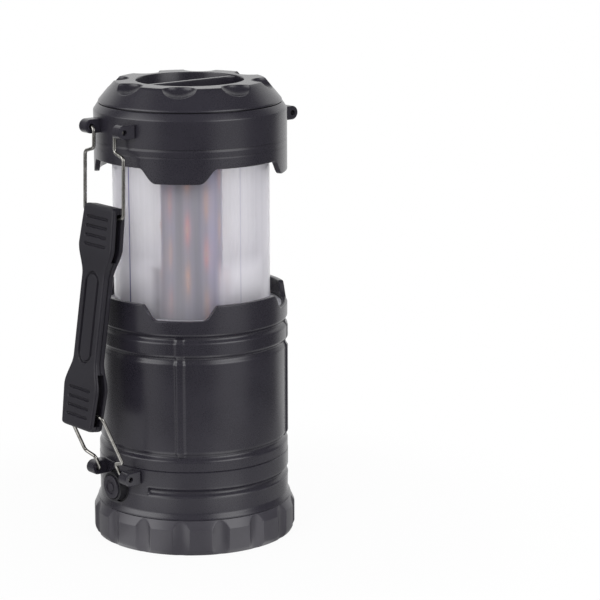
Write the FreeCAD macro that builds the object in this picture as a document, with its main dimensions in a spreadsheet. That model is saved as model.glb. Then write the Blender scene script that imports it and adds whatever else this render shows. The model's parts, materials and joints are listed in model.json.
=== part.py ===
import FreeCAD, Part
import math
import os
import types

import Sketcher

# A pop-up camping lantern: the cap, its clear tube and the light column slide down into the body.
# The frame has +Z up and its origin on the axis at the underside; the handle is towards -X.

# Driving dimensions in millimetres and degrees: name, value, what it measures.
dimensions = [
    ("travel", 56.0, "slide of the cap from open to closed"),
    ("closeGap", 0.4, "gap left between cap and collar when closed"),
    ("cornerTurn", 45.0, "azimuth of the first rib, tab and notch"),
    ("cornerCount", 4, "ribs, tabs and notches round the axis"),
    ("fitGap", 0.1, "gap between pieces that stay put"),
    ("runGap", 0.35, "gap between pieces that slide or turn"),

    ("baseRadius", 43.0, "widest radius of the base cover"),
    ("footRadius", 42.0, "radius of the base cover underneath"),
    ("footChamfer", 2.0, "height of the bottom chamfer"),
    ("baseHeight", 15.0, "seam between base cover and shell"),
    ("seamRadius", 41.3, "radius at that seam"),
    ("seamGap", 0.2, "gap at that seam"),
    ("footWall", 2.0, "wall of the shell outside the seal ring"),
    ("bevelHeight", 4.0, "height of the bevel below the seam"),
    ("fluteCount", 16, "finger flutes round the base"),
    ("fluteRadius", 5.4, "radius of one flute"),
    ("fluteDepth", 1.5, "depth of one flute"),
    ("baseFloor", 2.6, "floor thickness of the base cover"),
    ("spigotWall", 2.0, "wall of the spigot inside the shell"),
    ("spigotHeight", 5.0, "height of the spigot above the seam"),
    ("bayonetCount", 3, "bayonet lugs on the spigot"),
    ("bayonetHeight", 1.6, "height of a bayonet lug"),
    ("bayonetReach", 0.7, "reach of a bayonet lug past the bore"),
    ("bayonetHalf", 4.0, "half width of a bayonet lug"),
    ("bayonetTurn", 40.0, "twist from locked to free"),
    ("gasketHeight", 1.6, "height of the seal ring"),
    ("gasketWidth", 1.4, "width of the seal ring"),
    ("postRadius", 28.0, "outer radius of the ring rib that carries the contacts"),
    ("postWall", 1.8, "wall of that rib"),

    ("shellRadius", 40.2, "radius of the raised bands"),
    ("shellWall", 2.3, "wall of the shell"),
    ("panelSink", 0.45, "how far the side panels lie back"),
    ("flareHeight", 2.8, "flare above the seam"),
    ("grooveDepth", 1.3, "depth of the ring grooves"),
    ("grooveWidth", 4.4, "width of the ring grooves"),
    ("grooveSide", 1.1, "sloping side of the ring grooves"),
    ("grooveOne", 23.5, "bottom of the lowest groove"),
    ("grooveTwo", 39.4, "bottom of the groove under the panels"),
    ("grooveThree", 80.7, "bottom of the groove over the panels"),
    ("grooveFour", 89.5, "bottom of the highest groove"),
    ("grooveBreak", 52.0, "angle left plain round the button"),
    ("ribRound", 6.2, "rounding radius of the upright ribs"),
    ("ribRise", 0.8, "height of the ribs over the panels"),
    ("saddleRise", 0.5, "height of the ribs where they cross a groove"),
    ("collarTop", 105.5, "top of the shell"),
    ("collarEdge", 0.6, "chamfer on the collar"),
    ("tabDrop", 6.1, "length of the cap tabs"),
    ("tabHalfLow", 10.6, "half width of a tab at its end"),
    ("tabHalfHigh", 15.2, "half width of a tab at its root"),
    ("tabRound", 4.5, "rounding of the tab ends"),
    ("rootRound", 2.4, "rounding of the tab roots"),
    ("notchGap", 0.6, "gap between tab and notch"),
    ("notchRound", 4.0, "rounding of the notch floors"),
    ("lipRound", 1.6, "rounding of the collar beside a notch"),
    ("ledgeReach", 1.0, "inner ledges for the guide ring and the cage"),
    ("ledgeHeight", 1.5, "height of those ledges"),

    ("tubeRadius", 32.9, "outer radius of the clear tube"),
    ("tubeWall", 1.5, "wall of the clear tube"),
    ("tubeDip", 16.5, "tube below the collar when open"),
    ("guideHeight", 4.6, "height of the guide ring"),
    ("guideDip", 11.5, "guide ring seat below the collar"),
    ("stopReach", 3.4, "reach of the stop ring past the tube"),
    ("stopHeight", 3.8, "height of the stop ring"),
    ("stopGap", 0.6, "gap between stop ring and guide ring when open"),

    ("capRadius", 40.3, "radius of the cap skirt"),
    ("capWall", 2.2, "wall of the cap skirt"),
    ("skirtHeight", 21.5, "skirt from its edge to the crown"),
    ("bandLow", 4.6, "shallow band above the skirt edge"),
    ("bandHeight", 3.0, "height of that band"),
    ("bandDepth", 0.35, "depth of that band"),
    ("shoulderHeight", 2.4, "height of the slope at the top of the skirt"),
    ("shoulderSet", 1.9, "how far that slope leans in"),
    ("flangeReach", 3.1, "inner flange of the skirt"),
    ("flangeHeight", 2.2, "thickness of that flange"),
    ("crownHeight", 10.1, "crown from the skirt to the rim"),
    ("crownRadius", 38.2, "crown radius above the seam"),
    ("crownSeam", 0.4, "height of the dark seam under the crown"),
    ("crownBand", 0.8, "height where the cone starts"),
    ("seamSink", 1.0, "how far that seam lies back"),
    ("rimRadius", 30.8, "outer radius of the rim"),
    ("rimEdge", 0.7, "chamfer of the rim"),
    ("scallopCount", 8, "thumb scallops round the crown"),
    ("scallopRadius", 14.0, "radius of one scallop"),
    ("scallopReach", 37.5, "distance of a scallop centre from the axis"),
    ("scallopRise", 9.25, "height of a scallop centre over the rim"),
    ("dishRadius", 22.5, "radius of the dish at the rim"),
    ("dishDraft", 1.0, "how much narrower the dish is at its floor"),
    ("dishDepth", 9.0, "depth of the dish"),
    ("barWidth", 2.6, "thickness of the pull bar"),
    ("crownWall", 2.2, "walls of the crown"),
    ("crownRoof", 7.0, "thickness of the crown over its hollow"),
    ("plateRise", 11.1, "underside of the inner plate above the skirt edge"),
    ("plateHeight", 2.0, "thickness of the inner plate"),
    ("socketDepth", 4.0, "depth of the sockets for tube and column"),
    ("socketWall", 1.6, "wall of those sockets"),
    ("screwCount", 4, "screws that hold the inner plate"),
    ("screwCircle", 26.0, "radius of the screw circle"),
    ("screwRadius", 1.25, "radius of a screw"),
    ("screwLength", 8.0, "length of a screw under its head"),
    ("headRadius", 2.4, "radius of a screw head"),
    ("headHeight", 1.6, "height of a screw head"),
    ("bossWall", 1.7, "wall of a screw boss"),

    ("columnRadius", 12.5, "radius of the light column former"),
    ("columnWall", 1.6, "wall of the former"),
    ("columnDip", 14.5, "former below the collar when open"),
    ("sleeveWall", 0.4, "thickness of the wrapped circuit"),
    ("sleeveMargin", 2.0, "former left bare at each end"),
    ("ledColumns", 10, "columns of lights round the sleeve"),
    ("ledRows", 3, "lights in one column"),
    ("ledTurn", -26.7, "azimuth of the first column"),
    ("ledFoot", 7.3, "lowest light above the foot of the sleeve"),
    ("ledHead", 17.2, "highest light below the top of the sleeve"),
    ("ledWide", 1.6, "width of a light"),
    ("ledTall", 2.8, "height of a light"),
    ("ledThick", 0.6, "thickness of a light"),

    ("cellRadius", 7.1, "radius of a cell"),
    ("cellLength", 49.2, "length of a cell without its nub"),
    ("nubRadius", 2.6, "radius of the nub"),
    ("nubHeight", 1.2, "height of the nub"),
    ("cellCount", 3, "cells round the axis"),
    ("cellCircle", 22.6, "distance of a cell from the axis"),
    ("podGap", 0.35, "gap between cell and pod"),
    ("podWall", 0.8, "wall of a pod"),
    ("podRoof", 1.4, "roof of a pod"),
    ("cageFloor", 2.0, "thickness of the cage floor"),
    ("contactHeight", 0.5, "thickness of the contact plates"),
    ("contactRadius", 5.6, "radius of an upper contact"),
    ("springHeight", 2.0, "height of a lower contact spring"),
    ("springRadius", 4.4, "radius of a lower contact spring"),
    ("boardHeight", 1.4, "thickness of the circuit boards"),
    ("boardRadius", 11.0, "radius of the driver board"),
    ("boardLift", 2.6, "pillar under the driver board"),
    ("pillarWall", 1.6, "wall of that pillar"),

    ("buttonHeight", 25.6, "height of the button axis"),
    ("buttonRadius", 5.4, "radius of the button"),
    ("buttonProud", 4.2, "face of the button outside the shell"),
    ("buttonTravel", 1.0, "press of the button"),
    ("buttonDome", 0.7, "drop from the button face to its rim"),
    ("bezelWall", 1.2, "wall of the button bezel"),
    ("bezelProud", 3.2, "front of the bezel outside the shell"),
    ("switchSide", 6.0, "side of the push switch"),
    ("switchDeep", 1.9, "depth of the push switch"),
    ("switchSet", 1.5, "push switch inside the bore of the shell"),
    ("plungerRadius", 1.5, "radius of its plunger"),
    ("switchBoardWide", 13.0, "width of the switch board"),

    ("wireRadius", 0.85, "radius of the bail wire"),
    ("wireBend", 2.0, "bend radius of the bail wire"),
    ("wireInner", 7.3, "half spacing of the legs beside the lugs"),
    ("wireOuter", 13.5, "half spacing of the legs beside the grip"),
    ("pinGap", 0.08, "radial gap of the wire in a lug"),
    ("lugReach", 3.4, "lug holes outside the wall that carries them"),
    ("lugRound", 3.1, "rounding radius of a lug"),
    ("lugInner", 8.9, "inner face of a lug"),
    ("lugWidth", 5.4, "width of a lug"),
    ("upperLugRise", 14.9, "upper lug holes above the skirt edge"),
    ("lowerLugHeight", 31.8, "height of the lower lug holes"),
    ("upperBailDrop", 35.3, "upper bail from lug to grip, downwards"),
    ("upperBailLean", 0.9, "upper bail from lug to grip, outwards"),
    ("upperJog", 8.6, "start of the jog in the upper bail"),
    ("lowerBailRise", 28.7, "lower bail from lug to grip, upwards"),
    ("lowerBailLean", 13.4, "lower bail from lug to grip, outwards"),
    ("lowerJog", 6.6, "start of the jog in the lower bail"),
    ("jogSlope", 1.8, "length of a jog along the leg"),

    ("gripHalf", 3.2, "half thickness of the grip"),
    ("gripWaistHalf", 2.5, "half thickness of the grip at its waist"),
    ("gripEnd", 3.9, "grip past the upper pin"),
    ("gripLength", 92.5, "length of the grip"),
    ("gripEndHalf", 10.4, "half width of the grip at its ends"),
    ("gripWideHalf", 11.7, "half width of the grip where it is widest"),
    ("gripMidHalf", 8.5, "half width of the grip at its waist"),
    ("gripWideAt", 16.5, "widest place, from each end"),
    ("gripWaistAt", 29.5, "start of the waist, from each end"),
    ("gripRound", 12.0, "rounding of the grip outline"),
    ("gripCorner", 1.8, "rounding of the grip corners"),
    ("gripEdge", 1.0, "rounding of the grip faces"),
    ("slotHalf", 1.6, "half width of the wire slots"),
    ("slotEnd", 2.4, "wall past the end of a wire slot"),
    ("upperSlot", 20.0, "length of the upper wire slot"),
    ("lowerSlot", 21.4, "length of the lower wire slot"),
    ("slotCorner", 0.8, "chamfer at the ends of a wire slot"),
    ("inlayHalf", 4.1, "half width of the stadium groove"),
    ("inlayLength", 37.0, "length of the stadium groove"),
    ("inlayLine", 0.9, "width of the stadium groove"),
    ("inlayDepth", 0.5, "depth of the grip grooves"),
    ("gripLineCount", 4, "cross grooves at each end of the grip"),
    ("gripLineFirst", 5.2, "first cross groove, from each end"),
    ("gripLineStep", 3.75, "spacing of the cross grooves"),
    ("gripLineWide", 1.1, "width of a cross groove"),
    ("gripLineHalf", 7.4, "half length of a cross groove"),
]


class Size:
    # A number kept together with the sheet formula that gives it.
    def __init__(self, value, text):
        self.value = value
        self.text = text

    def __add__(self, other):
        return Size(self.value + number(other), f"({self.text} + {formula(other)})")

    def __radd__(self, other):
        return Size(number(other) + self.value, f"({formula(other)} + {self.text})")

    def __sub__(self, other):
        return Size(self.value - number(other), f"({self.text} - {formula(other)})")

    def __rsub__(self, other):
        return Size(number(other) - self.value, f"({formula(other)} - {self.text})")

    def __mul__(self, other):
        return Size(self.value * number(other), f"({self.text} * {formula(other)})")

    def __rmul__(self, other):
        return Size(number(other) * self.value, f"({formula(other)} * {self.text})")

    def __truediv__(self, other):
        return Size(self.value / number(other), f"({self.text} / {formula(other)})")

    def __neg__(self):
        return Size(-self.value, f"(0 - {self.text})")


def number(item):
    return item.value if isinstance(item, Size) else float(item)


def formula(item):
    return item.text if isinstance(item, Size) else repr(float(item))


def sine(angle):
    return Size(math.sin(math.radians(angle.value)), f"sin({angle.text} * 1 deg)")


def cosine(angle):
    return Size(math.cos(math.radians(angle.value)), f"cos({angle.text} * 1 deg)")


def arctangent(rise, run):
    return Size(math.degrees(math.atan2(rise.value, run.value)), f"atan({rise.text} / {run.text})")


def chord_depth(radius, half):
    # Distance from the axis to a chord of that half width.
    depth = math.sqrt(radius.value ** 2 - half.value ** 2)
    return Size(depth, f"sqrt({radius.text} ^ 2 - {half.text} ^ 2)")


def smaller(one, other):
    return Size(min(one.value, other.value), f"min({one.text}; {other.text})")


def larger(one, other):
    return Size(max(one.value, other.value), f"max({one.text}; {other.text})")


doc = FreeCAD.newDocument("lantern")
sheet = doc.addObject("Spreadsheet::Sheet", "sheet")
d = types.SimpleNamespace()
for row, (name, value, note) in enumerate(dimensions, 1):
    sheet.set(f"A{row}", note)
    sheet.set(f"B{row}", str(value))
    sheet.setAlias(f"B{row}", name)
    setattr(d, name, Size(float(value), f"sheet.{name}"))
doc.recompute()

nodes = []


def tie(thing, place, size):
    # Binds one property to its sheet formula.
    if isinstance(size, Size):
        thing.setExpression(place, size.text)


def keep(thing, label):
    thing.Label = label
    nodes.append(thing)
    return thing


def new_body(label):
    return keep(doc.addObject("PartDesign::Body", label), label)


def origin_plane(body, role):
    return [item for item in body.Origin.OriginFeatures if item.Role == role][0]


def new_sketch(body, role, lift=None, turn=None):
    # A sketch on an origin plane, lifted along its normal or turned about the lantern axis.
    sketch = body.newObject("Sketcher::SketchObject", "sketch")
    sketch.AttachmentSupport = [(origin_plane(body, role), "")]
    sketch.MapMode = "FlatFace"
    upright = FreeCAD.Vector(0, 0, 1) if role == "XY_Plane" else FreeCAD.Vector(0, 1, 0)
    if turn is not None:
        turned = FreeCAD.Rotation(upright, turn.value)
        sketch.AttachmentOffset = FreeCAD.Placement(FreeCAD.Vector(0, 0, 0), turned)
        tie(sketch, "AttachmentOffset.Rotation.Angle", turn)
    if lift is not None:
        tie(sketch, "AttachmentOffset.Base.z", lift)
    return sketch


def pin_constraints(geometry, end, spot):
    # Constraints that hold one point at its two distances from the sketch origin.
    held = []
    for kind, size, axis in (("DistanceX", spot[0], -2), ("DistanceY", spot[1], -1)):
        if number(size) == 0:
            held.append((Sketcher.Constraint("PointOnObject", geometry, end, axis), None))
        else:
            held.append((Sketcher.Constraint(kind, -1, 1, geometry, end, number(size)), size))
    return held


def add_constraints(sketch, held):
    first = sketch.ConstraintCount
    sketch.addConstraint([constraint for constraint, size in held])
    for place, (constraint, size) in enumerate(held):
        if isinstance(size, Size):
            tie(sketch, f"Constraints[{first + place}]", size)


def outline(sketch, points):
    # A closed outline of straight lines whose corners are tied to the sheet.
    first = sketch.GeometryCount
    count = len(points)
    spots = [FreeCAD.Vector(number(x), number(y), 0) for x, y in points]
    held = []
    for place in range(count):
        after = (place + 1) % count
        sketch.addGeometry(Part.LineSegment(spots[place], spots[after]), False)
        held.append((Sketcher.Constraint("Coincident", first + place, 2, first + after, 1), None))
        held.extend(pin_constraints(first + place, 1, points[place]))
    add_constraints(sketch, held)
    return sketch


def circle(sketch, x, y, radius):
    spot = FreeCAD.Vector(number(x), number(y), 0)
    place = sketch.addGeometry(Part.Circle(spot, FreeCAD.Vector(0, 0, 1), number(radius)), False)
    held = pin_constraints(place, 3, (x, y))
    held.append((Sketcher.Constraint("Radius", place, number(radius)), radius))
    add_constraints(sketch, held)
    return sketch


def half_round(sketch, x, y, radius, root):
    # A tongue along the sketch's X: straight from the root, rounded about (x, y).
    side = 1 if number(x) > number(root) else -1
    centre = FreeCAD.Vector(number(x), number(y), 0)
    high = centre + FreeCAD.Vector(0, radius.value, 0)
    low = centre - FreeCAD.Vector(0, radius.value, 0)
    tip = centre + FreeCAD.Vector(side * radius.value, 0, 0)
    back_high = FreeCAD.Vector(number(root), high.y, 0)
    back_low = FreeCAD.Vector(number(root), low.y, 0)
    arc = sketch.addGeometry(Part.Arc(low, tip, high), False)
    top = sketch.addGeometry(Part.LineSegment(high, back_high), False)
    back = sketch.addGeometry(Part.LineSegment(back_high, back_low), False)
    bottom = sketch.addGeometry(Part.LineSegment(back_low, low), False)
    last, start = (2, 1) if side > 0 else (1, 2)
    held = [
        (Sketcher.Constraint("Tangent", arc, last, top, 1), None),
        (Sketcher.Constraint("Coincident", top, 2, back, 1), None),
        (Sketcher.Constraint("Coincident", back, 2, bottom, 1), None),
        (Sketcher.Constraint("Tangent", bottom, 2, arc, start), None),
        (Sketcher.Constraint("Horizontal", top), None),
        (Sketcher.Constraint("Vertical", back), None),
        (Sketcher.Constraint("Radius", arc, radius.value), radius),
        (Sketcher.Constraint("DistanceX", -1, 1, back, 1, number(root)), root),
    ]
    held.extend(pin_constraints(arc, 3, (x, y)))
    add_constraints(sketch, held)
    return sketch


def bow(sketch, centre, radius, chord):
    # A rounded rib section: an arc about a point on the X axis, closed by an upright chord.
    reach = math.acos((chord.value - centre.value) / radius.value)
    spot = FreeCAD.Vector(centre.value, 0, 0)
    round_part = Part.Circle(spot, FreeCAD.Vector(0, 0, 1), radius.value)
    arc = sketch.addGeometry(Part.ArcOfCircle(round_part, -reach, reach), False)
    half = radius.value * math.sin(reach)
    high = FreeCAD.Vector(chord.value, half, 0)
    low = FreeCAD.Vector(chord.value, -half, 0)
    line = sketch.addGeometry(Part.LineSegment(high, low), False)
    held = [
        (Sketcher.Constraint("Coincident", arc, 2, line, 1), None),
        (Sketcher.Constraint("Coincident", line, 2, arc, 1), None),
        (Sketcher.Constraint("Vertical", line), None),
        (Sketcher.Constraint("Radius", arc, radius.value), radius),
        (Sketcher.Constraint("DistanceX", -1, 1, line, 1, chord.value), chord),
    ]
    held.extend(pin_constraints(arc, 3, (centre, 0)))
    add_constraints(sketch, held)
    return sketch


def volume_of(body):
    return body.Tip.Shape.Volume if body.Tip else 0.0


def settle(body, feature, grows, before):
    # Recomputes and makes sure that the feature really added or removed material.
    doc.recompute()
    after = feature.Shape.Volume
    if (after > before) != grows or abs(after - before) < 1e-6:
        raise RuntimeError(f"{body.Label}: {feature.Name} did nothing ({before} to {after})")
    return feature


def revolve(body, sketch, axis="V_Axis", angle=None):
    before = volume_of(body)
    feature = body.newObject("PartDesign::Revolution", "turned")
    feature.Profile = sketch
    feature.ReferenceAxis = (sketch, [axis])
    feature.Angle = 360
    if angle is not None:
        feature.Midplane = True
        tie(feature, "Angle", angle)
    return settle(body, feature, True, before)


def pad(body, sketch, length, reverse=False, both=False):
    before = volume_of(body)
    feature = body.newObject("PartDesign::Pad", "pad")
    feature.Profile = sketch
    feature.Reversed = reverse
    if both:
        feature.SideType = "Symmetric"
    tie(feature, "Length", length)
    return settle(body, feature, True, before)


def pocket(body, sketch, length=None, reverse=False, both=False):
    before = volume_of(body)
    feature = body.newObject("PartDesign::Pocket", "pocket")
    feature.Profile = sketch
    feature.Reversed = reverse
    if both:
        feature.SideType = "Symmetric"
    if length is None:
        feature.Type = "ThroughAll"
    else:
        tie(feature, "Length", length)
    return settle(body, feature, False, before)


def polar(body, feature, count, grows):
    before = volume_of(body)
    pattern = body.newObject("PartDesign::PolarPattern", "pattern")
    pattern.Originals = [feature]
    pattern.Axis = (origin_plane(body, "Z_Axis"), [""])
    pattern.Angle = 360
    tie(pattern, "Occurrences", count)
    body.Tip = pattern
    return settle(body, pattern, grows, before)


def mirror(body, feature, role, grows):
    before = volume_of(body)
    pattern = body.newObject("PartDesign::Mirrored", "mirrored")
    pattern.Originals = [feature]
    pattern.MirrorPlane = (origin_plane(body, role), [""])
    body.Tip = pattern
    return settle(body, pattern, grows, before)


def fillet(body, feature, radius, wanted):
    # Rounds the edges of the last feature for which wanted(edge) is true.
    names = [f"Edge{place}" for place, edge in enumerate(feature.Shape.Edges, 1) if wanted(edge)]
    rounded = body.newObject("PartDesign::Fillet", "rounded")
    rounded.Base = (feature, names)
    tie(rounded, "Radius", radius)
    doc.recompute()
    return rounded


def level_corners(height):
    # Picks the straight edges that lie level at one height.
    def wanted(edge):
        level = all(abs(vertex.Z - height.value) < 1e-4 for vertex in edge.Vertexes)
        return level and edge.Curve.TypeId == "Part::GeomLine"
    return wanted


def ring_body(label, inner, outer, low, high):
    # A plain ring, or a disc where the inner radius is 0.
    body = new_body(label)
    points = [(inner, low), (outer, low), (outer, high), (inner, high)]
    revolve(body, outline(new_sketch(body, "XZ_Plane"), points))
    return body


def cylinder(name, radius, height, x, y, z):
    solid = doc.addObject("Part::Cylinder", name)
    tie(solid, "Radius", radius)
    tie(solid, "Height", height)
    for axis, size in zip("xyz", (x, y, z)):
        tie(solid, f"Placement.Base.{axis}", size)
    return solid


def box(name, spans):
    # A block from three (low, high) spans along X, Y and Z.
    solid = doc.addObject("Part::Box", name)
    for axis, side, (low, high) in zip("xyz", ("Length", "Width", "Height"), spans):
        tie(solid, side, high - low)
        tie(solid, f"Placement.Base.{axis}", low)
    return solid


def fused(label, pieces):
    joined = doc.addObject("Part::MultiFuse", label)
    joined.Shapes = pieces
    return joined


def cut(label, base, tool):
    result = doc.addObject("Part::Cut", label)
    result.Base = base
    result.Tool = tool
    return result


def group(label, pieces):
    # Separate solids that share one node.
    together = doc.addObject("Part::Compound", label)
    together.Links = pieces
    return keep(together, label)


# Heights and radii that several pieces share.
shell_bore = d.shellRadius - d.shellWall
foot_bore = smaller(shell_bore, d.seamRadius - d.footWall - d.gasketWidth)
panel_radius = d.shellRadius - d.panelSink
cap_edge = d.collarTop + d.travel + d.closeGap
tab_end = cap_edge - d.tabDrop
notch_floor = tab_end - d.travel - d.notchGap
crown_base = cap_edge + d.skirtHeight
rim_top = crown_base + d.crownHeight
cap_bore = d.capRadius - d.capWall
plate_low = cap_edge + d.plateRise
plate_high = plate_low + d.plateHeight
tube_bore = d.tubeRadius - d.tubeWall
tube_bottom = d.collarTop - d.tubeDip
guide_seat = d.collarTop - d.guideDip
spigot_radius = foot_bore - d.runGap
spigot_bore = spigot_radius - d.spigotWall
spigot_top = d.baseHeight + d.spigotHeight
seat = d.baseHeight - d.seamGap
gasket_outer = spigot_radius + d.gasketWidth
rabbet_outer = gasket_outer + d.runGap
rabbet_top = seat + d.gasketHeight + d.runGap
slot_top = spigot_top - d.fitGap
slot_low = slot_top - d.bayonetHeight - d.runGap * 2
bayonet_outer = foot_bore + d.bayonetReach
slot_outer = bayonet_outer + d.runGap
cage_low = spigot_top + d.runGap
cage_high = cage_low + d.cageFloor
cell_low = cage_low - d.fitGap
cell_top = cell_low + d.cellLength + d.nubHeight
contact_low = cell_top + d.fitGap
pod_bore = d.cellRadius + d.podGap
pod_radius = pod_bore + d.podWall
pod_inside = contact_low + d.contactHeight + d.fitGap
pod_top = pod_inside + d.podRoof
spring_low = cell_low - d.fitGap - d.springHeight
plate_contact_low = spring_low - d.contactHeight
carrier_low = plate_contact_low - d.cageFloor
upper_pivot = cap_edge + d.upperLugRise
upper_lug_reach = d.capRadius + d.lugReach
lower_lug_reach = d.shellRadius + d.lugReach
upper_pin_reach = upper_lug_reach + d.upperBailLean
upper_pin = upper_pivot - d.upperBailDrop
lower_pin_reach = lower_lug_reach + d.lowerBailLean
lower_pin = d.lowerLugHeight + d.lowerBailRise
wire_hole = d.wireRadius + d.pinGap
lug_inner = larger(d.lugInner, d.wireInner + d.wireRadius + d.fitGap)
ledge_bore = larger(shell_bore - d.ledgeReach, d.tubeRadius + d.runGap)
crown_seam = d.crownRadius - d.seamSink
crown_spigot = smaller(cap_bore - d.flangeReach - d.fitGap, crown_seam - d.crownWall)
screw_circle = smaller(d.screwCircle, tube_bore - d.headRadius - d.runGap)
cell_turn = Size(360.0, "360") / d.cellCount


def lugs(body, reach, bore, height, sides):
    # Pairs of rounded lugs with a cross hole for the wire, rooted in the wall outside the bore.
    root = chord_depth(bore, lug_inner) + d.fitGap
    block = new_sketch(body, "XZ_Plane", lift=lug_inner)
    for side in sides:
        half_round(block, side * reach, height, d.lugRound, side * root)
    mirror(body, pad(body, block, d.lugWidth), "XZ_Plane", True)
    hole = new_sketch(body, "XZ_Plane")
    for side in sides:
        circle(hole, side * reach, height, wire_hole)
    pocket(body, hole, both=True)


def make_base_cover():
    # Twist-off cover: fluted rim, spigot with bayonet lugs, and a rib that carries the contacts.
    body = new_body("base_cover")
    points = [
        (0, 0),
        (d.footRadius, 0),
        (d.baseRadius, d.footChamfer),
        (d.baseRadius, d.baseHeight - d.bevelHeight),
        (d.seamRadius, seat),
        (spigot_radius, seat),
        (spigot_radius, spigot_top),
        (spigot_bore, spigot_top),
        (spigot_bore, d.baseFloor),
        (d.postRadius, d.baseFloor),
        (d.postRadius, carrier_low),
        (d.postRadius - d.postWall, carrier_low),
        (d.postRadius - d.postWall, d.baseFloor),
        (0, d.baseFloor),
    ]
    revolve(body, outline(new_sketch(body, "XZ_Plane"), points))
    flute = new_sketch(body, "XY_Plane")
    circle(flute, d.baseRadius + d.fluteRadius - d.fluteDepth, 0, d.fluteRadius)
    polar(body, pocket(body, flute, reverse=True), d.fluteCount, False)
    lug = new_sketch(body, "XY_Plane", lift=slot_low + d.runGap, turn=d.bayonetTurn)
    chord = spigot_radius - d.spigotWall / 2
    bow(lug, bayonet_outer - d.bayonetHalf, d.bayonetHalf, chord)
    polar(body, pad(body, lug, d.bayonetHeight), d.bayonetCount, True)


def make_cover_pieces():
    # Seal, contact carrier, contact plate and contact springs above the base cover.
    ring_body("cover_gasket", spigot_radius, gasket_outer, seat, seat + d.gasketHeight)
    ring_body("contact_carrier", d.cellCircle - pod_radius, d.postRadius + d.postWall, carrier_low,
              plate_contact_low)
    ring_body("cover_contact", d.cellCircle - d.contactRadius, d.cellCircle + d.contactRadius,
              plate_contact_low, spring_low)
    springs = []
    for place in range(int(d.cellCount.value)):
        turn = cell_turn * place
        spring = doc.addObject("Part::Cone", "spring")
        tie(spring, "Radius1", d.springRadius)
        tie(spring, "Radius2", d.nubRadius)
        tie(spring, "Height", d.springHeight)
        tie(spring, "Placement.Base.x", d.cellCircle * cosine(turn))
        tie(spring, "Placement.Base.y", d.cellCircle * sine(turn))
        tie(spring, "Placement.Base.z", spring_low)
        springs.append(spring)
    group("contact_springs", springs)


def ring_groove(low, radius_below, radius_above):
    # Four corners of a ring groove, from its lower to its upper edge.
    floor = d.shellRadius - d.grooveDepth
    return [
        (radius_below, low),
        (floor, low + d.grooveSide),
        (floor, low + d.grooveWidth - d.grooveSide),
        (radius_above, low + d.grooveWidth),
    ]


def make_body_shell():
    # The main shell: flare, ring grooves, side panels with ribs, notched collar and lower lugs.
    body = new_body("body_shell")
    ledge_low = guide_seat - d.ledgeHeight
    cage_stop = cage_high + d.fitGap
    points = [
        (d.seamRadius, d.baseHeight),
        (d.shellRadius, d.baseHeight + d.flareHeight),
        *ring_groove(d.grooveOne, d.shellRadius, d.shellRadius),
        *ring_groove(d.grooveTwo, d.shellRadius, panel_radius),
        *ring_groove(d.grooveThree, panel_radius, d.shellRadius),
        *ring_groove(d.grooveFour, d.shellRadius, d.shellRadius),
        (d.shellRadius, d.collarTop - d.collarEdge),
        (d.shellRadius - d.collarEdge, d.collarTop),
        (shell_bore, d.collarTop),
        (shell_bore, guide_seat),
        (ledge_bore, guide_seat),
        (ledge_bore, ledge_low),
        (shell_bore, ledge_low - d.ledgeReach),
        (shell_bore, cage_stop + d.ledgeHeight + d.ledgeReach),
        (ledge_bore, cage_stop + d.ledgeHeight),
        (ledge_bore, cage_stop),
        (shell_bore, cage_stop),
        (shell_bore, slot_top),
        (slot_outer, slot_top),
        (slot_outer, slot_low),
        (foot_bore, slot_low),
        (foot_bore, rabbet_top),
        (rabbet_outer, rabbet_top),
        (rabbet_outer, d.baseHeight),
    ]
    revolve(body, outline(new_sketch(body, "XZ_Plane"), points))
    groove_floor = d.shellRadius - d.grooveDepth
    rib_spans = [
        (d.grooveTwo + d.grooveWidth / 2, d.grooveFour + d.grooveWidth / 2, groove_floor + d.saddleRise),
        (d.grooveTwo + d.grooveWidth, d.grooveThree, panel_radius + d.ribRise),
        (d.grooveThree + d.grooveWidth, d.grooveFour, panel_radius + d.ribRise),
    ]
    for low, high, reach in rib_spans:
        rib = new_sketch(body, "XY_Plane", lift=low, turn=d.cornerTurn)
        bow(rib, reach - d.ribRound, d.ribRound, shell_bore + d.fitGap)
        polar(body, pad(body, rib, high - low), d.cornerCount, True)
    plain = new_sketch(body, "XZ_Plane")
    inner = -(shell_bore + d.fitGap)
    top = d.grooveOne + d.grooveWidth
    outline(plain, [(-d.shellRadius, d.grooveOne), (-d.shellRadius, top), (inner, top), (inner, d.grooveOne)])
    revolve(body, plain, angle=d.grooveBreak)
    hole = new_sketch(body, "YZ_Plane")
    circle(hole, 0, d.buttonHeight, d.buttonRadius + d.runGap + d.bezelWall + d.fitGap)
    pocket(body, hole)
    notch = new_sketch(body, "YZ_Plane", turn=d.cornerTurn)
    low_half = d.tabHalfLow + d.notchGap
    high_half = d.tabHalfHigh + d.notchGap
    outline(notch, [(-low_half, notch_floor), (low_half, notch_floor),
                    (high_half, d.collarTop), (high_half, d.collarTop + d.notchGap),
                    (-high_half, d.collarTop + d.notchGap), (-high_half, d.collarTop)])
    notches = polar(body, pocket(body, notch, reverse=True), d.cornerCount, False)
    notches = fillet(body, notches, d.notchRound, level_corners(notch_floor))
    fillet(body, notches, d.lipRound, level_corners(d.collarTop))
    entry = new_sketch(body, "XY_Plane", lift=d.baseHeight)
    entry_radius = d.bayonetHalf + d.runGap
    bow(entry, bayonet_outer - d.bayonetHalf, entry_radius, spigot_radius - d.spigotWall / 2)
    way_in = pocket(body, entry, length=slot_low - d.baseHeight + d.runGap, reverse=True)
    polar(body, way_in, d.bayonetCount, False)
    lugs(body, lower_lug_reach, shell_bore, d.lowerLugHeight, (-1,))


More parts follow.
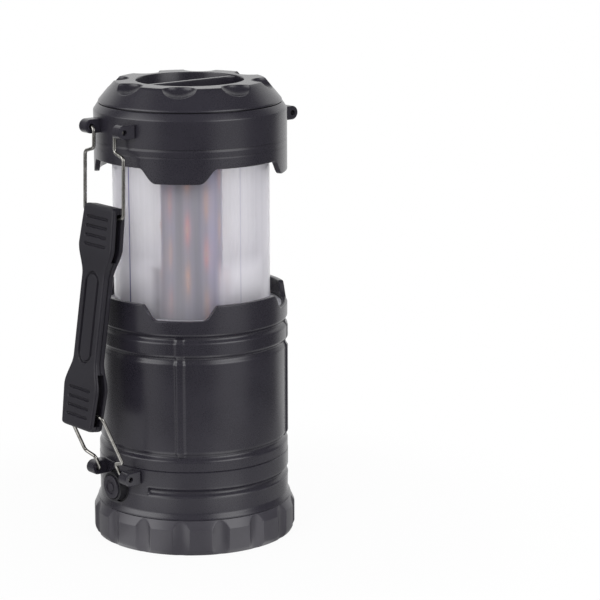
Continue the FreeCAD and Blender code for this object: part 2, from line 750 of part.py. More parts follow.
def make_guide_ring():
    # Ring on the inner ledge that guides the clear tube.
    ring_body("guide_ring", d.tubeRadius + d.runGap, shell_bore - d.fitGap, guide_seat,
              guide_seat + d.guideHeight)


def make_battery_cage():
    # Floor with three upright pods and a pillar for the driver board.
    body = new_body("battery_cage")
    pillar = d.boardRadius - d.pillarWall
    points = [
        (pillar - d.pillarWall, cage_low),
        (shell_bore - d.fitGap, cage_low),
        (shell_bore - d.fitGap, cage_high),
        (pillar, cage_high),
        (pillar, cage_high + d.boardLift),
        (pillar - d.pillarWall, cage_high + d.boardLift),
    ]
    revolve(body, outline(new_sketch(body, "XZ_Plane"), points))
    pod = circle(new_sketch(body, "XY_Plane", lift=cage_low), d.cellCircle, 0, pod_radius)
    polar(body, pad(body, pod, pod_top - cage_low), d.cellCount, True)
    bore = circle(new_sketch(body, "XY_Plane", lift=cage_low), d.cellCircle, 0, pod_bore)
    polar(body, pocket(body, bore, length=pod_inside - cage_low, reverse=True), d.cellCount, False)


def make_cells():
    # Three upright cells with their upper contact plates.
    cells = []
    contacts = []
    for place in range(int(d.cellCount.value)):
        turn = cell_turn * place
        x = d.cellCircle * cosine(turn)
        y = d.cellCircle * sine(turn)
        can = cylinder("can", d.cellRadius, d.cellLength, x, y, cell_low)
        nub = cylinder("nub", d.nubRadius, d.nubHeight, x, y, cell_low + d.cellLength)
        cells.append(fused("cell", [can, nub]))
        contacts.append(cylinder("contact", d.contactRadius, d.contactHeight, x, y, contact_low))
    group("aa_cells", cells)
    group("upper_contacts", contacts)


def make_electronics():
    # Driver board on its pillar, and the push switch on its own small board behind the button.
    board_low = cage_high + d.boardLift
    ring_body("driver_board", 0, d.boardRadius, board_low, board_low + d.boardHeight)
    face = -(shell_bore - d.switchSet)
    half = d.switchSide / 2
    low = d.buttonHeight - half
    high = d.buttonHeight + half
    back = face + d.switchDeep
    wide = d.switchBoardWide / 2
    switch_box = box("housing", [(face, back), (-half, half), (low, high)])
    well_depth = d.switchDeep - d.contactHeight
    well = cylinder("well", d.plungerRadius + d.pinGap, well_depth, face, 0, d.buttonHeight)
    well.Placement.Rotation = FreeCAD.Rotation(FreeCAD.Vector(0, 1, 0), 90)
    keep(cut("push_switch", switch_box, well), "push_switch")
    board = box("switch_board", [(back, back + d.boardHeight), (-wide, wide), (cage_high, high + d.fitGap)])
    keep(board, "switch_board")
    stem_end = face + d.switchDeep - d.contactHeight - d.buttonTravel - d.fitGap
    button_back = -(d.shellRadius - d.buttonTravel)
    stem = cylinder("switch_plunger", d.plungerRadius, stem_end - button_back, button_back, 0, d.buttonHeight)
    stem.Placement.Rotation = FreeCAD.Rotation(FreeCAD.Vector(0, 1, 0), 90)
    keep(stem, "switch_plunger")


def make_button():
    # Round button in its bezel; both are turned about the radial axis through the button.
    bezel = new_body("button_bezel")
    tie(bezel, "Placement.Base.z", d.buttonHeight)
    bore = d.buttonRadius + d.runGap
    outer = bore + d.bezelWall
    front = -(d.shellRadius + d.bezelProud)
    inside = -(shell_bore + d.fitGap)
    points = [
        (front, bore),
        (front, outer - d.collarEdge),
        (front + d.collarEdge, outer),
        (inside, outer),
        (inside, bore),
    ]
    revolve(bezel, outline(new_sketch(bezel, "XZ_Plane"), points), axis="H_Axis")

    button = new_body("button")
    tie(button, "Placement.Base.z", d.buttonHeight)
    face = -(d.shellRadius + d.buttonProud)
    back = -(d.shellRadius - d.buttonTravel)
    centre = d.buttonRadius / 2
    points = [
        (face + d.buttonDome, 0),
        (face + d.buttonDome, centre - d.buttonDome),
        (face, centre),
        (face, d.buttonRadius - d.buttonDome),
        (face + d.buttonDome, d.buttonRadius),
        (back, d.buttonRadius),
        (back, 0),
    ]
    revolve(button, outline(new_sketch(button, "XZ_Plane"), points), axis="H_Axis")


def make_cap_skirt():
    # Skirt with four hanging tabs, a shallow band, an inner flange and two pairs of lugs.
    body = new_body("cap_skirt")
    band_low = cap_edge + d.bandLow
    band_high = band_low + d.bandHeight
    band_radius = d.capRadius - d.bandDepth
    flange_low = crown_base - d.flangeHeight
    points = [
        (d.capRadius, tab_end),
        (d.capRadius, band_low),
        (band_radius, band_low + d.bandDepth),
        (band_radius, band_high - d.bandDepth),
        (d.capRadius, band_high),
        (d.capRadius, crown_base - d.shoulderHeight),
        (d.capRadius - d.shoulderSet, crown_base),
        (crown_spigot + d.fitGap, crown_base),
        (crown_spigot + d.fitGap, flange_low),
        (cap_bore, flange_low),
        (cap_bore, tab_end),
    ]
    revolve(body, outline(new_sketch(body, "XZ_Plane"), points))
    between = new_sketch(body, "YZ_Plane", turn=d.cornerTurn)
    reach = d.capRadius * sine(Size(180.0, "180") / d.cornerCount) + d.fitGap
    below = tab_end - d.notchGap
    for side in (1, -1):
        outline(between, [(side * d.tabHalfLow, below), (side * d.tabHalfLow, tab_end),
                          (side * d.tabHalfHigh, cap_edge), (side * reach, cap_edge), (side * reach, below)])
    tabs = polar(body, pocket(body, between, reverse=True), d.cornerCount, False)
    tabs = fillet(body, tabs, d.tabRound, level_corners(tab_end))
    fillet(body, tabs, d.rootRound, level_corners(cap_edge))
    lugs(body, upper_lug_reach, cap_bore, upper_pivot, (-1, 1))


def make_cap_crown():
    # Crown: scalloped cone, dish with a pull bar, spigot and screw bosses underneath.
    body = new_body("cap_crown")
    dish_floor = rim_top - d.dishDepth
    spigot_low = crown_base - d.flangeHeight
    roof = rim_top - d.crownRoof
    dish_outside = d.dishRadius + d.crownWall
    points = [
        (0, dish_floor - d.crownWall),
        (dish_outside, dish_floor - d.crownWall),
        (dish_outside, roof),
        (crown_spigot - d.crownWall, roof),
        (crown_spigot - d.crownWall, spigot_low),
        (crown_spigot, spigot_low),
        (crown_spigot, crown_base),
        (crown_seam, crown_base),
        (crown_seam, crown_base + d.crownSeam),
        (d.crownRadius, crown_base + d.crownSeam),
        (d.crownRadius, crown_base + d.crownBand),
        (d.rimRadius, rim_top - d.rimEdge),
        (d.rimRadius - d.rimEdge, rim_top),
        (d.dishRadius, rim_top),
        (d.dishRadius - d.dishDraft, dish_floor),
        (0, dish_floor),
    ]
    revolve(body, outline(new_sketch(body, "XZ_Plane"), points))
    before = volume_of(body)
    scallop = body.newObject("PartDesign::SubtractiveSphere", "scallop")
    scallop.AttachmentSupport = [(origin_plane(body, "XY_Plane"), "")]
    scallop.MapMode = "FlatFace"
    tie(scallop, "Radius", d.scallopRadius)
    tie(scallop, "AttachmentOffset.Base.x", d.scallopReach)
    tie(scallop, "AttachmentOffset.Base.z", rim_top + d.scallopRise)
    polar(body, settle(body, scallop, False, before), d.scallopCount, False)
    half = d.barWidth / 2
    bar = new_sketch(body, "XY_Plane", lift=dish_floor)
    outline(bar, [(-d.dishRadius, -half), (d.dishRadius, -half), (d.dishRadius, half), (-d.dishRadius, half)])
    pad(body, bar, d.dishDepth)
    boss_height = roof - plate_high
    boss_radius = d.screwRadius + d.bossWall
    boss = circle(new_sketch(body, "XY_Plane", lift=plate_high), screw_circle, 0, boss_radius)
    polar(body, pad(body, boss, boss_height), d.screwCount, True)
    drill = circle(new_sketch(body, "XY_Plane", lift=plate_high), screw_circle, 0, d.screwRadius + d.fitGap)
    depth = d.screwLength - d.plateHeight + d.fitGap
    polar(body, pocket(body, drill, length=depth, reverse=True), d.screwCount, False)


def make_inner_plate():
    # Plate inside the cap with sockets for the clear tube and the light column, and its screws.
    body = new_body("inner_plate")
    socket_low = plate_low - d.socketDepth
    tube_socket = d.tubeRadius + d.fitGap
    socket_outer = smaller(tube_socket + d.socketWall, cap_bore - d.fitGap * 2)
    peg = d.columnRadius - d.columnWall - d.fitGap
    points = [
        (peg - d.socketWall, socket_low),
        (peg, socket_low),
        (peg, plate_low),
        (tube_socket, plate_low),
        (tube_socket, socket_low),
        (socket_outer, socket_low),
        (socket_outer, plate_low),
        (cap_bore - d.fitGap, plate_low),
        (cap_bore - d.fitGap, plate_high),
        (peg - d.socketWall, plate_high),
    ]
    revolve(body, outline(new_sketch(body, "XZ_Plane"), points))
    hole = circle(new_sketch(body, "XY_Plane", lift=plate_low), screw_circle, 0, d.screwRadius + d.fitGap)
    polar(body, pocket(body, hole, length=d.plateHeight, reverse=True), d.screwCount, False)
    screws = []
    for place in range(int(d.screwCount.value)):
        turn = Size(360.0, "360") / d.screwCount * place
        x = screw_circle * cosine(turn)
        y = screw_circle * sine(turn)
        head = cylinder("head", d.headRadius, d.headHeight, x, y, plate_low - d.headHeight)
        shank = cylinder("shank", d.screwRadius, d.screwLength, x, y, plate_low)
        screws.append(fused("screw", [head, shank]))
    group("plate_screws", screws)


def make_light_tube():
    # Clear tube and the stop ring that keeps it in the body.
    ring_body("light_tube", tube_bore, d.tubeRadius, tube_bottom, plate_low)
    stop_high = guide_seat - d.stopGap
    stop_outer = smaller(d.tubeRadius + d.stopReach, shell_bore - d.runGap)
    ring_body("tube_stop", d.tubeRadius, stop_outer, stop_high - d.stopHeight, stop_high)


def make_light_column():
    # Former that hangs from the cap, the circuit wrapped round it and its rows of lights.
    low = d.collarTop - d.columnDip
    inner = d.columnRadius - d.columnWall
    former = new_body("led_former")
    points = [
        (0, low),
        (d.columnRadius, low),
        (d.columnRadius, plate_low),
        (inner, plate_low),
        (inner, low + d.columnWall),
        (0, low + d.columnWall),
    ]
    revolve(former, outline(new_sketch(former, "XZ_Plane"), points))
    sleeve_low = low + d.sleeveMargin
    sleeve_high = plate_low - d.sleeveMargin
    sleeve_radius = d.columnRadius + d.sleeveWall
    ring_body("led_sleeve", d.columnRadius, sleeve_radius, sleeve_low, sleeve_high)

    columns = int(d.ledColumns.value)
    rows = int(d.ledRows.value)
    lowest = sleeve_low.value + d.ledFoot.value
    pitch = (sleeve_high.value - d.ledHead.value - lowest) / (rows - 0.5)
    lights = []
    for column in range(columns):
        for row in range(rows):
            rise = lowest + pitch * (row + 0.5 * (column % 2))
            light = Part.makeBox(d.ledThick.value, d.ledWide.value, d.ledTall.value,
                                 FreeCAD.Vector(sleeve_radius.value, -d.ledWide.value / 2,
                                                rise - d.ledTall.value / 2))
            turn = d.ledTurn.value + 360.0 * column / columns
            light.rotate(FreeCAD.Vector(0, 0, 0), FreeCAD.Vector(0, 0, 1), turn)
            lights.append(light)
    feature = doc.addObject("Part::Feature", "leds")
    feature.Shape = Part.makeCompound(lights)
    keep(feature, "leds")


def bent_wire(points, radius, bend):
    # Round wire along straight runs that are joined by bends of one radius.
    edges = []
    start = points[0]
    for before, corner, after in zip(points, points[1:], points[2:]):
        back = (before - corner).normalize()
        ahead = (after - corner).normalize()
        half_turn = (math.pi - back.getAngle(ahead)) / 2
        middle = (back + ahead).normalize()
        reach = bend * math.tan(half_turn)
        near = corner + back * reach
        far = corner + ahead * reach
        inside = corner + middle * (bend / math.cos(half_turn) - bend)
        edges.append(Part.LineSegment(start, near).toShape())
        edges.append(Part.Arc(near, inside, far).toShape())
        start = far
    edges.append(Part.LineSegment(start, points[-1]).toShape())
    path = Part.Wire(edges)
    ring = Part.makeCircle(radius, points[0], points[1] - points[0])
    return path.makePipeShell([Part.Wire(ring)], True, False)


def make_bail(label, lug_reach, pivot, pin_reach, pin, jog):
    # A wire bail: ends in the lugs, legs that jog outwards, and a cross bar through the grip slot.
    hinge = FreeCAD.Vector(-lug_reach.value, 0, pivot.value)
    run = FreeCAD.Vector(-pin_reach.value, 0, pin.value) - hinge
    along = FreeCAD.Vector(run)
    along.normalize()
    side = FreeCAD.Vector(0, 1, 0)
    lug_end = lug_inner.value + d.lugWidth.value
    jog_end = jog.value + d.jogSlope.value
    half = [
        (lug_end - d.fitGap.value * 3, 0),
        (d.wireInner.value, 0),
        (d.wireInner.value, jog.value),
        (d.wireOuter.value, jog_end),
        (d.wireOuter.value, run.Length),
    ]
    points = [hinge + side * across + along * down for across, down in half]
    points += [hinge - side * across + along * down for across, down in reversed(half)]
    feature = doc.addObject("Part::Feature", label)
    feature.Shape = bent_wire(points, d.wireRadius.value, d.wireBend.value)
    keep(feature, label)


def make_grip_half(label, side):
    # One moulded half of the grip; side is 1 for the outer half and -1 for the half by the body.
    body = new_body(label)
    lean = arctangent(lower_pin_reach - upper_pin_reach, upper_pin - lower_pin)
    upright = FreeCAD.Vector(0, 1, 0)
    body.Placement = FreeCAD.Placement(FreeCAD.Vector(0, 0, 0), FreeCAD.Rotation(upright, lean.value))
    tie(body, "Placement.Base.x", -upper_pin_reach)
    tie(body, "Placement.Base.z", upper_pin)
    tie(body, "Placement.Rotation.Angle", lean)

    high = d.gripEnd
    low = d.gripEnd - d.gripLength
    corners = [
        (d.gripEndHalf, high),
        (d.gripWideHalf, high - d.gripWideAt),
        (d.gripMidHalf, high - d.gripWaistAt),
        (d.gripMidHalf, low + d.gripWaistAt),
        (d.gripWideHalf, low + d.gripWideAt),
        (d.gripEndHalf, low),
    ]
    edge = corners + [(-y, z) for y, z in reversed(corners)]
    front = pad(body, outline(new_sketch(body, "YZ_Plane"), edge), d.gripHalf, reverse=side > 0)

    ends = [round(number(z), 3) for z in (high, low)]

    def crosses(solid_edge):
        spots = [vertex.Point for vertex in solid_edge.Vertexes]
        return len(spots) == 2 and abs(spots[0].x - spots[1].x) > d.gripWaistHalf.value

    def is_corner(solid_edge):
        return crosses(solid_edge) and round(solid_edge.Vertexes[0].Point.z, 3) in ends

    def is_bend(solid_edge):
        return crosses(solid_edge) and not is_corner(solid_edge)

    def on_face(solid_edge):
        return abs(abs(solid_edge.CenterOfMass.x) - d.gripHalf.value) < 1e-6

    smooth = fillet(body, front, d.gripRound, is_bend)
    smooth = fillet(body, smooth, d.gripCorner, is_corner)
    smooth = fillet(body, smooth, d.gripEdge, on_face)

    outer = -side * (d.gripHalf + d.fitGap)
    waist = -side * d.gripWaistHalf
    thin = new_sketch(body, "XZ_Plane")
    outline(thin, [(outer, high - d.gripWideAt), (waist, high - d.gripWaistAt),
                   (waist, low + d.gripWaistAt), (outer, low + d.gripWideAt)])
    pocket(body, thin, both=True)

    for top, bottom in ((high - d.slotEnd, high - d.slotEnd - d.upperSlot),
                        (low + d.slotEnd + d.lowerSlot, low + d.slotEnd)):
        slot = new_sketch(body, "XZ_Plane")
        wide = -side * d.slotHalf
        narrow = -side * (d.slotHalf - d.slotCorner)
        outline(slot, [(0, top), (narrow, top), (wide, top - d.slotCorner),
                       (wide, bottom + d.slotCorner), (narrow, bottom), (0, bottom)])
        pocket(body, slot, both=True)
    if side > 0:
        make_grip_lines(body, high, low)


def make_grip_lines(body, high, low):
    # Cross grooves near both ends and the stadium groove at mid length, in the outer face.
    face = -d.gripHalf
    half = d.gripLineWide / 2
    lines = new_sketch(body, "YZ_Plane", lift=face)
    for place in range(int(d.gripLineCount.value)):
        step = d.gripLineFirst + d.gripLineStep * place
        for middle in (high - step, low + step):
            outline(lines, [(-d.gripLineHalf, middle - half), (d.gripLineHalf, middle - half),
                            (d.gripLineHalf, middle + half), (-d.gripLineHalf, middle + half)])
    pocket(body, lines, length=d.inlayDepth, reverse=True)
    inlay = new_sketch(body, "YZ_Plane", lift=face)
    middle = high - d.gripLength / 2
    for shrink in (0, d.inlayLine):
        stadium(inlay, middle, d.inlayLength / 2 - d.inlayHalf, d.inlayHalf - shrink)
    pocket(body, inlay, length=d.gripHalf - d.gripWaistHalf + d.inlayDepth, reverse=True)


def stadium(sketch, middle, reach, radius):
    # An upright stadium outline about the sketch's Y axis.
    heights = (middle + reach, middle - reach)
    tops = [FreeCAD.Vector(0, height.value, 0) for height in heights]
    across = FreeCAD.Vector(number(radius), 0, 0)
    up = FreeCAD.Vector(0, number(radius), 0)
    upper = sketch.addGeometry(Part.Arc(tops[0] + across, tops[0] + up, tops[0] - across), False)
    lower = sketch.addGeometry(Part.Arc(tops[1] - across, tops[1] - up, tops[1] + across), False)
    left = sketch.addGeometry(Part.LineSegment(tops[0] - across, tops[1] - across), False)
    right = sketch.addGeometry(Part.LineSegment(tops[1] + across, tops[0] + across), False)
    held = [
        (Sketcher.Constraint("Tangent", upper, 2, left, 1), None),
        (Sketcher.Constraint("Tangent", left, 2, lower, 1), None),
        (Sketcher.Constraint("Tangent", lower, 2, right, 1), None),
        (Sketcher.Constraint("Tangent", right, 2, upper, 1), None),
        (Sketcher.Constraint("Radius", upper, number(radius)), radius),
    ]
    held.extend(pin_constraints(upper, 3, (0, heights[0])))
    held.extend(pin_constraints(lower, 3, (0, heights[1])))
    add_constraints(sketch, held)


make_base_cover()
make_cover_pieces()
make_body_shell()
make_guide_ring()
make_battery_cage()
make_cells()
make_electronics()
make_button()
make_cap_skirt()
make_cap_crown()
make_inner_plate()
make_light_tube()
make_light_column()
make_bail("upper_bail", upper_lug_reach, upper_pivot, upper_pin_reach, upper_pin, d.upperJog)
make_bail("lower_bail", lower_lug_reach, d.lowerLugHeight, lower_pin_reach, lower_pin, d.lowerJog)
make_grip_half("grip_front", 1)
make_grip_half("grip_back", -1)
doc.recompute()

# Nothing is written unless every object computed and every piece is a sound solid.
failed = [item.Name for item in doc.Objects if "Invalid" in item.State or "Error" in item.State]
if failed:
    raise RuntimeError(f"failed objects: {failed}")
for node in nodes:
    if node.Shape.isNull() or not node.Shape.isValid() or not node.Shape.Solids:
        raise RuntimeError(f"{node.Label} is not a sound solid")

os.makedirs("parts", exist_ok=True)
for node in nodes:
    node.Shape.exportStep(f"parts/{node.Label}.step")
    print(node.Label, len(node.Shape.Solids), round(node.Shape.Volume, 1))
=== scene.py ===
import json
import math

import bmesh
import bpy
import numpy as np
from mathutils import Matrix, Quaternion, Vector

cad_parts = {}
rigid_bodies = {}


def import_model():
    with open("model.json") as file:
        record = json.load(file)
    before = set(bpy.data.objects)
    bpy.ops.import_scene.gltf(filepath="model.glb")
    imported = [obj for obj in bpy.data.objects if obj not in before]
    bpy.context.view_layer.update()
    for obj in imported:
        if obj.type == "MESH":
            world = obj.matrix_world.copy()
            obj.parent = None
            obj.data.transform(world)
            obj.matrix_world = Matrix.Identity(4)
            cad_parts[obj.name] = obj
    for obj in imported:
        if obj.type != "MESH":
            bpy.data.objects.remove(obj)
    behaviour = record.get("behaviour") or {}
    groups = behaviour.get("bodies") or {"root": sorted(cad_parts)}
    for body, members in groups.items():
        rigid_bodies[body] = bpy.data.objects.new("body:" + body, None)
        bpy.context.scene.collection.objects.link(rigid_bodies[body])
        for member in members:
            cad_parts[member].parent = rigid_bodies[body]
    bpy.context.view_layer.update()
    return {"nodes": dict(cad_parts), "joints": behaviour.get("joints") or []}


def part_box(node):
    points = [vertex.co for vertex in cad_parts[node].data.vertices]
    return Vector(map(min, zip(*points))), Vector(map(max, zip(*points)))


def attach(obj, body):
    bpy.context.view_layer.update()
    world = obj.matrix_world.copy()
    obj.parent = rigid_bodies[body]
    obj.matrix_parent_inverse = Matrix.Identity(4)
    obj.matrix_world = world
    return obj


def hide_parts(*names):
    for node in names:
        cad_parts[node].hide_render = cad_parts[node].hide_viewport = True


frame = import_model()
mm = 0.001  # sizes are in millimetres, and meshes are scaled to metres as they are made
weld = 0.002  # points closer than this are one
tiny = 1e-6  # keeps a division from meeting zero
jointAt = {joint["name"]: Vector(joint["pos_m"]) / mm for joint in frame["joints"] if joint.get("pos_m")}


def nodeBox(node):
    low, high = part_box(node)
    return low / mm, high / mm


# node trees

class Wire:  # one output socket; maths on it adds Math nodes to the same tree
    def __init__(self, graph, socket):
        self.graph = graph
        self.socket = socket

    def output(self, name):
        return Wire(self.graph, self.socket.node.outputs[name])

    def math(self, operation, *others):
        return self.graph.math(operation, self, *others)

    def step(self, low, high):  # 0 at low, 1 at high, smooth between
        ends = {"Value": self, "From Min": low, "From Max": high}
        return self.graph.node("ShaderNodeMapRange", {"interpolation_type": "SMOOTHSTEP"}, ends)

    def __add__(self, other):
        return self.math("ADD", other)

    def __sub__(self, other):
        return self.math("SUBTRACT", other)

    def __rsub__(self, other):
        return self.graph.math("SUBTRACT", other, self)

    def __mul__(self, other):
        return self.math("MULTIPLY", other)

    def __truediv__(self, other):
        return self.math("DIVIDE", other)

    def __rtruediv__(self, other):
        return self.graph.math("DIVIDE", other, self)

    def __abs__(self):
        return self.math("ABSOLUTE")

    __radd__, __rmul__ = __add__, __mul__


class Graph:  # a node tree that grows by one method
    def __init__(self, tree):
        self.tree = tree

    def node(self, kind, settings=None, sockets=None, out=0):
        made = self.tree.nodes.new(kind)
        for name, value in (settings or {}).items():
            setattr(made, name, value)
        for name, value in (sockets or {}).items():
            if isinstance(value, Wire):
                self.tree.links.new(value.socket, made.inputs[name])
            else:
                made.inputs[name].default_value = value
        return Wire(self, made.outputs[out]) if made.outputs else None

    def math(self, operation, *values):
        return self.node("ShaderNodeMath", {"operation": operation}, dict(enumerate(values)))

    def vector(self, operation, *vectors, out=0):
        return self.node("ShaderNodeVectorMath", {"operation": operation}, dict(enumerate(vectors)), out)

    def split(self, vector, out="X"):  # one part of a vector; the others are outputs of the same node
        return self.node("ShaderNodeSeparateXYZ", {}, {0: vector}, out)

    def polar(self, radius, angle, height):  # a point about the lantern axis
        parts = {"X": radius * angle.math("COSINE"), "Y": radius * angle.math("SINE"), "Z": height}
        return self.node("ShaderNodeCombineXYZ", {}, parts)

    def mix(self, factor, first, second):  # two colours
        return self.node("ShaderNodeMix", {"data_type": "RGBA"}, {0: factor, 6: first, 7: second}, out=2)

    def noise(self, place, size, detail=2.0):  # size of one blotch in millimetres
        sockets = {"Vector": place, "Scale": 1 / (size * mm), "Detail": detail}
        return self.node("ShaderNodeTexNoise", {}, sockets)

    def bump(self, strength, depth, height):
        sockets = {"Strength": strength, "Distance": depth * mm, "Height": height}
        return self.node("ShaderNodeBump", {}, sockets)


def paint(red, green, blue):  # sRGB from 0 to 255, to the linear colour of a socket
    parts = [part / 255 for part in (red, green, blue)]
    linear = [part / 12.92 if part < 0.04 else ((part + 0.055) / 1.055) ** 2.4 for part in parts]
    return (*linear, 1.0)


# finishes

def startFinish(name):
    material = bpy.data.materials.new(name)
    material.use_nodes = True
    material.node_tree.nodes.clear()
    graph = Graph(material.node_tree)
    return material, graph, graph.node("ShaderNodeTexCoord", out="Object")


def closeFinish(material, graph, sockets):
    shader = graph.node("ShaderNodeBsdfPrincipled", {}, sockets)
    graph.node("ShaderNodeOutputMaterial", {}, {"Surface": shader})
    return material


def mouldedPlastic(name, look):
    material, graph, place = startFinish(name)
    cloud = graph.noise(place, look["cloud"], detail=4.0)
    grain = graph.noise(place, look["grain"], detail=3.0)
    tone = graph.mix(cloud.step(*look["toneEdges"]), look["dark"], look["light"])
    colour = graph.mix(grain.step(*look["fleckEdges"]) * look["fleck"], tone, look["spark"])
    rough = look["rough"] + (grain - 0.5) * look["roughGrain"] + (cloud - 0.5) * look["roughCloud"]
    bump = graph.bump(look["relief"], look["grainDeep"], grain)
    return closeFinish(material, graph, {"Base Color": colour, "Roughness": rough, "Normal": bump,
                                         "Specular IOR Level": look["specular"]})


shellLook = dict(dark=paint(36, 34, 42), light=paint(41, 39, 47), toneEdges=(0.3, 0.7),
                 spark=paint(90, 88, 98), fleck=0.3, fleckEdges=(0.6, 0.78), cloud=18.0, grain=0.32,
                 grainDeep=0.02, rough=0.28, roughGrain=0.1, roughCloud=0.06, relief=0.14, specular=0.55)
baseLook = dict(shellLook, dark=paint(51, 49, 56), light=paint(57, 55, 62), rough=0.32)
gripLook = dict(shellLook, dark=paint(24, 22, 30), light=paint(28, 26, 34), spark=paint(50, 48, 56),
                rough=0.48, grain=0.4, relief=0.4, specular=0.45)
bezelLook = dict(shellLook, dark=paint(18, 17, 22), light=paint(22, 21, 26), rough=0.5, specular=0.35)
rubberLook = dict(gripLook, dark=paint(32, 29, 38), light=paint(37, 34, 43), rough=0.55, grain=0.25)
innerLook = dict(shellLook, dark=paint(70, 70, 74), light=paint(78, 78, 82), rough=0.5)
guideLook = dict(shellLook, dark=paint(150, 150, 155), light=paint(162, 162, 167), spark=paint(186, 186, 190),
                 rough=0.4)
reflectorLook = dict(shellLook, dark=paint(226, 226, 228), light=paint(236, 236, 238),
                     spark=paint(245, 245, 246), rough=0.35)
columnLook = dict(reflectorLook, dark=paint(196, 196, 200), light=paint(206, 206, 210))


def brushedMetal(name, look):
    material, graph, place = startFinish(name)
    lines = graph.noise(graph.vector("MULTIPLY", place, look["stretch"]), look["line"], detail=3.0)
    tarnish = graph.noise(place, look["tarnish"], detail=4.0)
    colour = graph.mix(tarnish.step(*look["toneEdges"]), look["bright"], look["dull"])
    rough = look["rough"] + (lines - 0.5) * look["roughLine"] + (tarnish - 0.5) * look["roughTarnish"]
    bump = graph.bump(look["relief"], look["lineDeep"], lines)
    return closeFinish(material, graph, {"Base Color": colour, "Metallic": 1.0, "Roughness": rough,
                                         "Normal": bump})


wireLook = dict(bright=paint(168, 166, 162), dull=paint(128, 126, 122), toneEdges=(0.35, 0.7), rough=0.27,
                roughLine=0.1, roughTarnish=0.1, line=0.6, lineDeep=0.01, tarnish=4.0,
                stretch=(1.0, 1.0, 0.15), relief=0.05)
screwLook = dict(wireLook, bright=paint(150, 150, 152), dull=paint(118, 118, 120), rough=0.35)
contactLook = dict(wireLook, bright=paint(212, 204, 180), dull=paint(186, 176, 150))
cellLook = dict(wireLook, bright=paint(120, 122, 128), dull=paint(96, 98, 104), rough=0.32)


def clearPlastic(name, look):  # a hazy clear wall: how much it hides changes along upright streaks
    material, graph, place = startFinish(name)
    spot = graph.split(place)
    across = spot.output("Y")
    turn = across.math("ARCTAN2", spot)
    outside = ((spot * spot + across * across).math("SQRT") / mm).step(look["bore"], look["radius"])
    seam = 0.0
    for azimuth, half, share in look["seams"]:  # moulding lines down the wall
        side = abs(turn - math.radians(azimuth)) * look["radius"]
        seam = ((1 - side.step(half * look["seamCore"], half)) * share).math("MAXIMUM", seam)
    drawn = graph.vector("MULTIPLY", place, look["drawn"])
    fine, broad = graph.noise(drawn, look["fine"]), graph.noise(drawn, look["broad"])
    haze = look["haze"] + (fine - 0.5) * look["fineShare"] + (broad - 0.5) * look["broadShare"]
    low = 1 - (spot.output("Z") / mm).step(look["lowEnd"], look["lowStart"])
    fourfold = (turn - math.radians(look["betweenTurn"])) * 4.0
    between = fourfold.math("COSINE") * 0.5 + 0.5  # 1 between the collar's notches, 0 about in line with them
    paintedLight = low * between.step(*look["paintedLightEdges"])  # a whiter, hazier band painted low on the wall where the high collar stands behind it: painted light that stands in for light passing through the haze and hides the dark collar
    haze = haze + look["paintedLightShare"] * paintedLight
    colour = graph.mix(seam, graph.mix(paintedLight, look["tint"], look["paintedLightTint"]), look["seamTint"])
    facing = graph.node("ShaderNodeLayerWeight", {}, {"Blend": 0.5}, out="Facing")
    slant = 1 / (1 - facing).math("MAXIMUM", look["grazing"])  # a slanting look passes more of the hazy wall
    veil = 1 - (1 - (haze + seam * look["seamShare"])).math("MAXIMUM", 0.0).math("POWER", slant)
    return closeFinish(material, graph, {
        "Base Color": colour, "Roughness": look["rough"] + fine * look["roughFine"],
        "Alpha": outside * veil + look["innerHaze"], "IOR": look["bend"],
        "Transmission Weight": look["through"], "Coat Weight": look["gloss"],
        "Coat Roughness": look["polish"]})


# the low band's tint and share, and where it fades round the wall, paint light on the tube's foot
tubeLook = dict(tint=paint(224, 222, 230), radius=32.9, bore=31.4, drawn=(1.0, 1.0, 0.02),
                seams=((-178.0, 0.55, 1.0), (-89.5, 0.3, 0.5)), seamCore=0.3, seamShare=0.3,
                seamTint=paint(92, 88, 140), fine=3.0, fineShare=0.3, broad=11.0, broadShare=0.4, haze=0.55,
                innerHaze=0.03, paintedLightShare=0.38, paintedLightTint=paint(238, 236, 243), lowStart=125.0, lowEnd=115.0,
                betweenTurn=3.5, paintedLightEdges=(0.42, 0.68), grazing=0.15, rough=0.42, roughFine=0.2, through=0.5,
                gloss=0.5, polish=0.12, bend=1.3)


def columnSleeve(name, look, lights):  # a printed sleeve with a painted glow round each light
    material, graph, place = startFinish(name)
    spot = graph.split(place)
    pitch = 2 * math.pi / lights["columns"]
    column = (spot.output("Y").math("ARCTAN2", spot) - lights["turn"]) / pitch
    nearest = column.math("ROUND")
    across = (column - nearest) * (pitch * lights["radius"])
    counted = nearest.math("FLOORED_MODULO", lights["columns"])
    row = (spot.output("Z") / mm - lights["lowest"]) / lights["pitch"] - counted.math("MODULO", 2.0) * 0.5
    level = row.math("ROUND").math("MAXIMUM", 0.0).math("MINIMUM", lights["rows"] - 1.0)
    along = (row - level) * lights["pitch"]
    glow = (across * across / look["glowWide"] ** 2 + along * along / look["glowTall"] ** 2) * -1.0
    # painted glow: a light colour round each light that fades away from it
    paintedGlow = glow.math("EXPONENT")
    warm = (level + ((counted + 1) / 2).math("FLOOR")).math("MODULO", 2.0)  # two tones of light take turns
    streak = graph.noise(graph.vector("MULTIPLY", place, look["drawn"]), look["streak"])
    ground = graph.mix(streak.step(*look["toneEdges"]), look["dark"], look["light"])
    colour = graph.mix(paintedGlow * look["glowShare"], ground, graph.mix(warm, look["amber"], look["rose"]))
    rough = look["rough"] + streak * look["roughStreak"]
    return closeFinish(material, graph, {"Base Color": colour, "Roughness": rough})


sleeveLook = dict(dark=paint(32, 28, 60), light=paint(118, 110, 164), toneEdges=(0.3, 0.7), streak=4.0,
                  drawn=(1.0, 1.0, 0.02), amber=paint(236, 140, 40), rose=paint(238, 72, 28), glowWide=1.0,
                  glowTall=6.5, glowShare=1.0, rough=0.35, roughStreak=0.2)


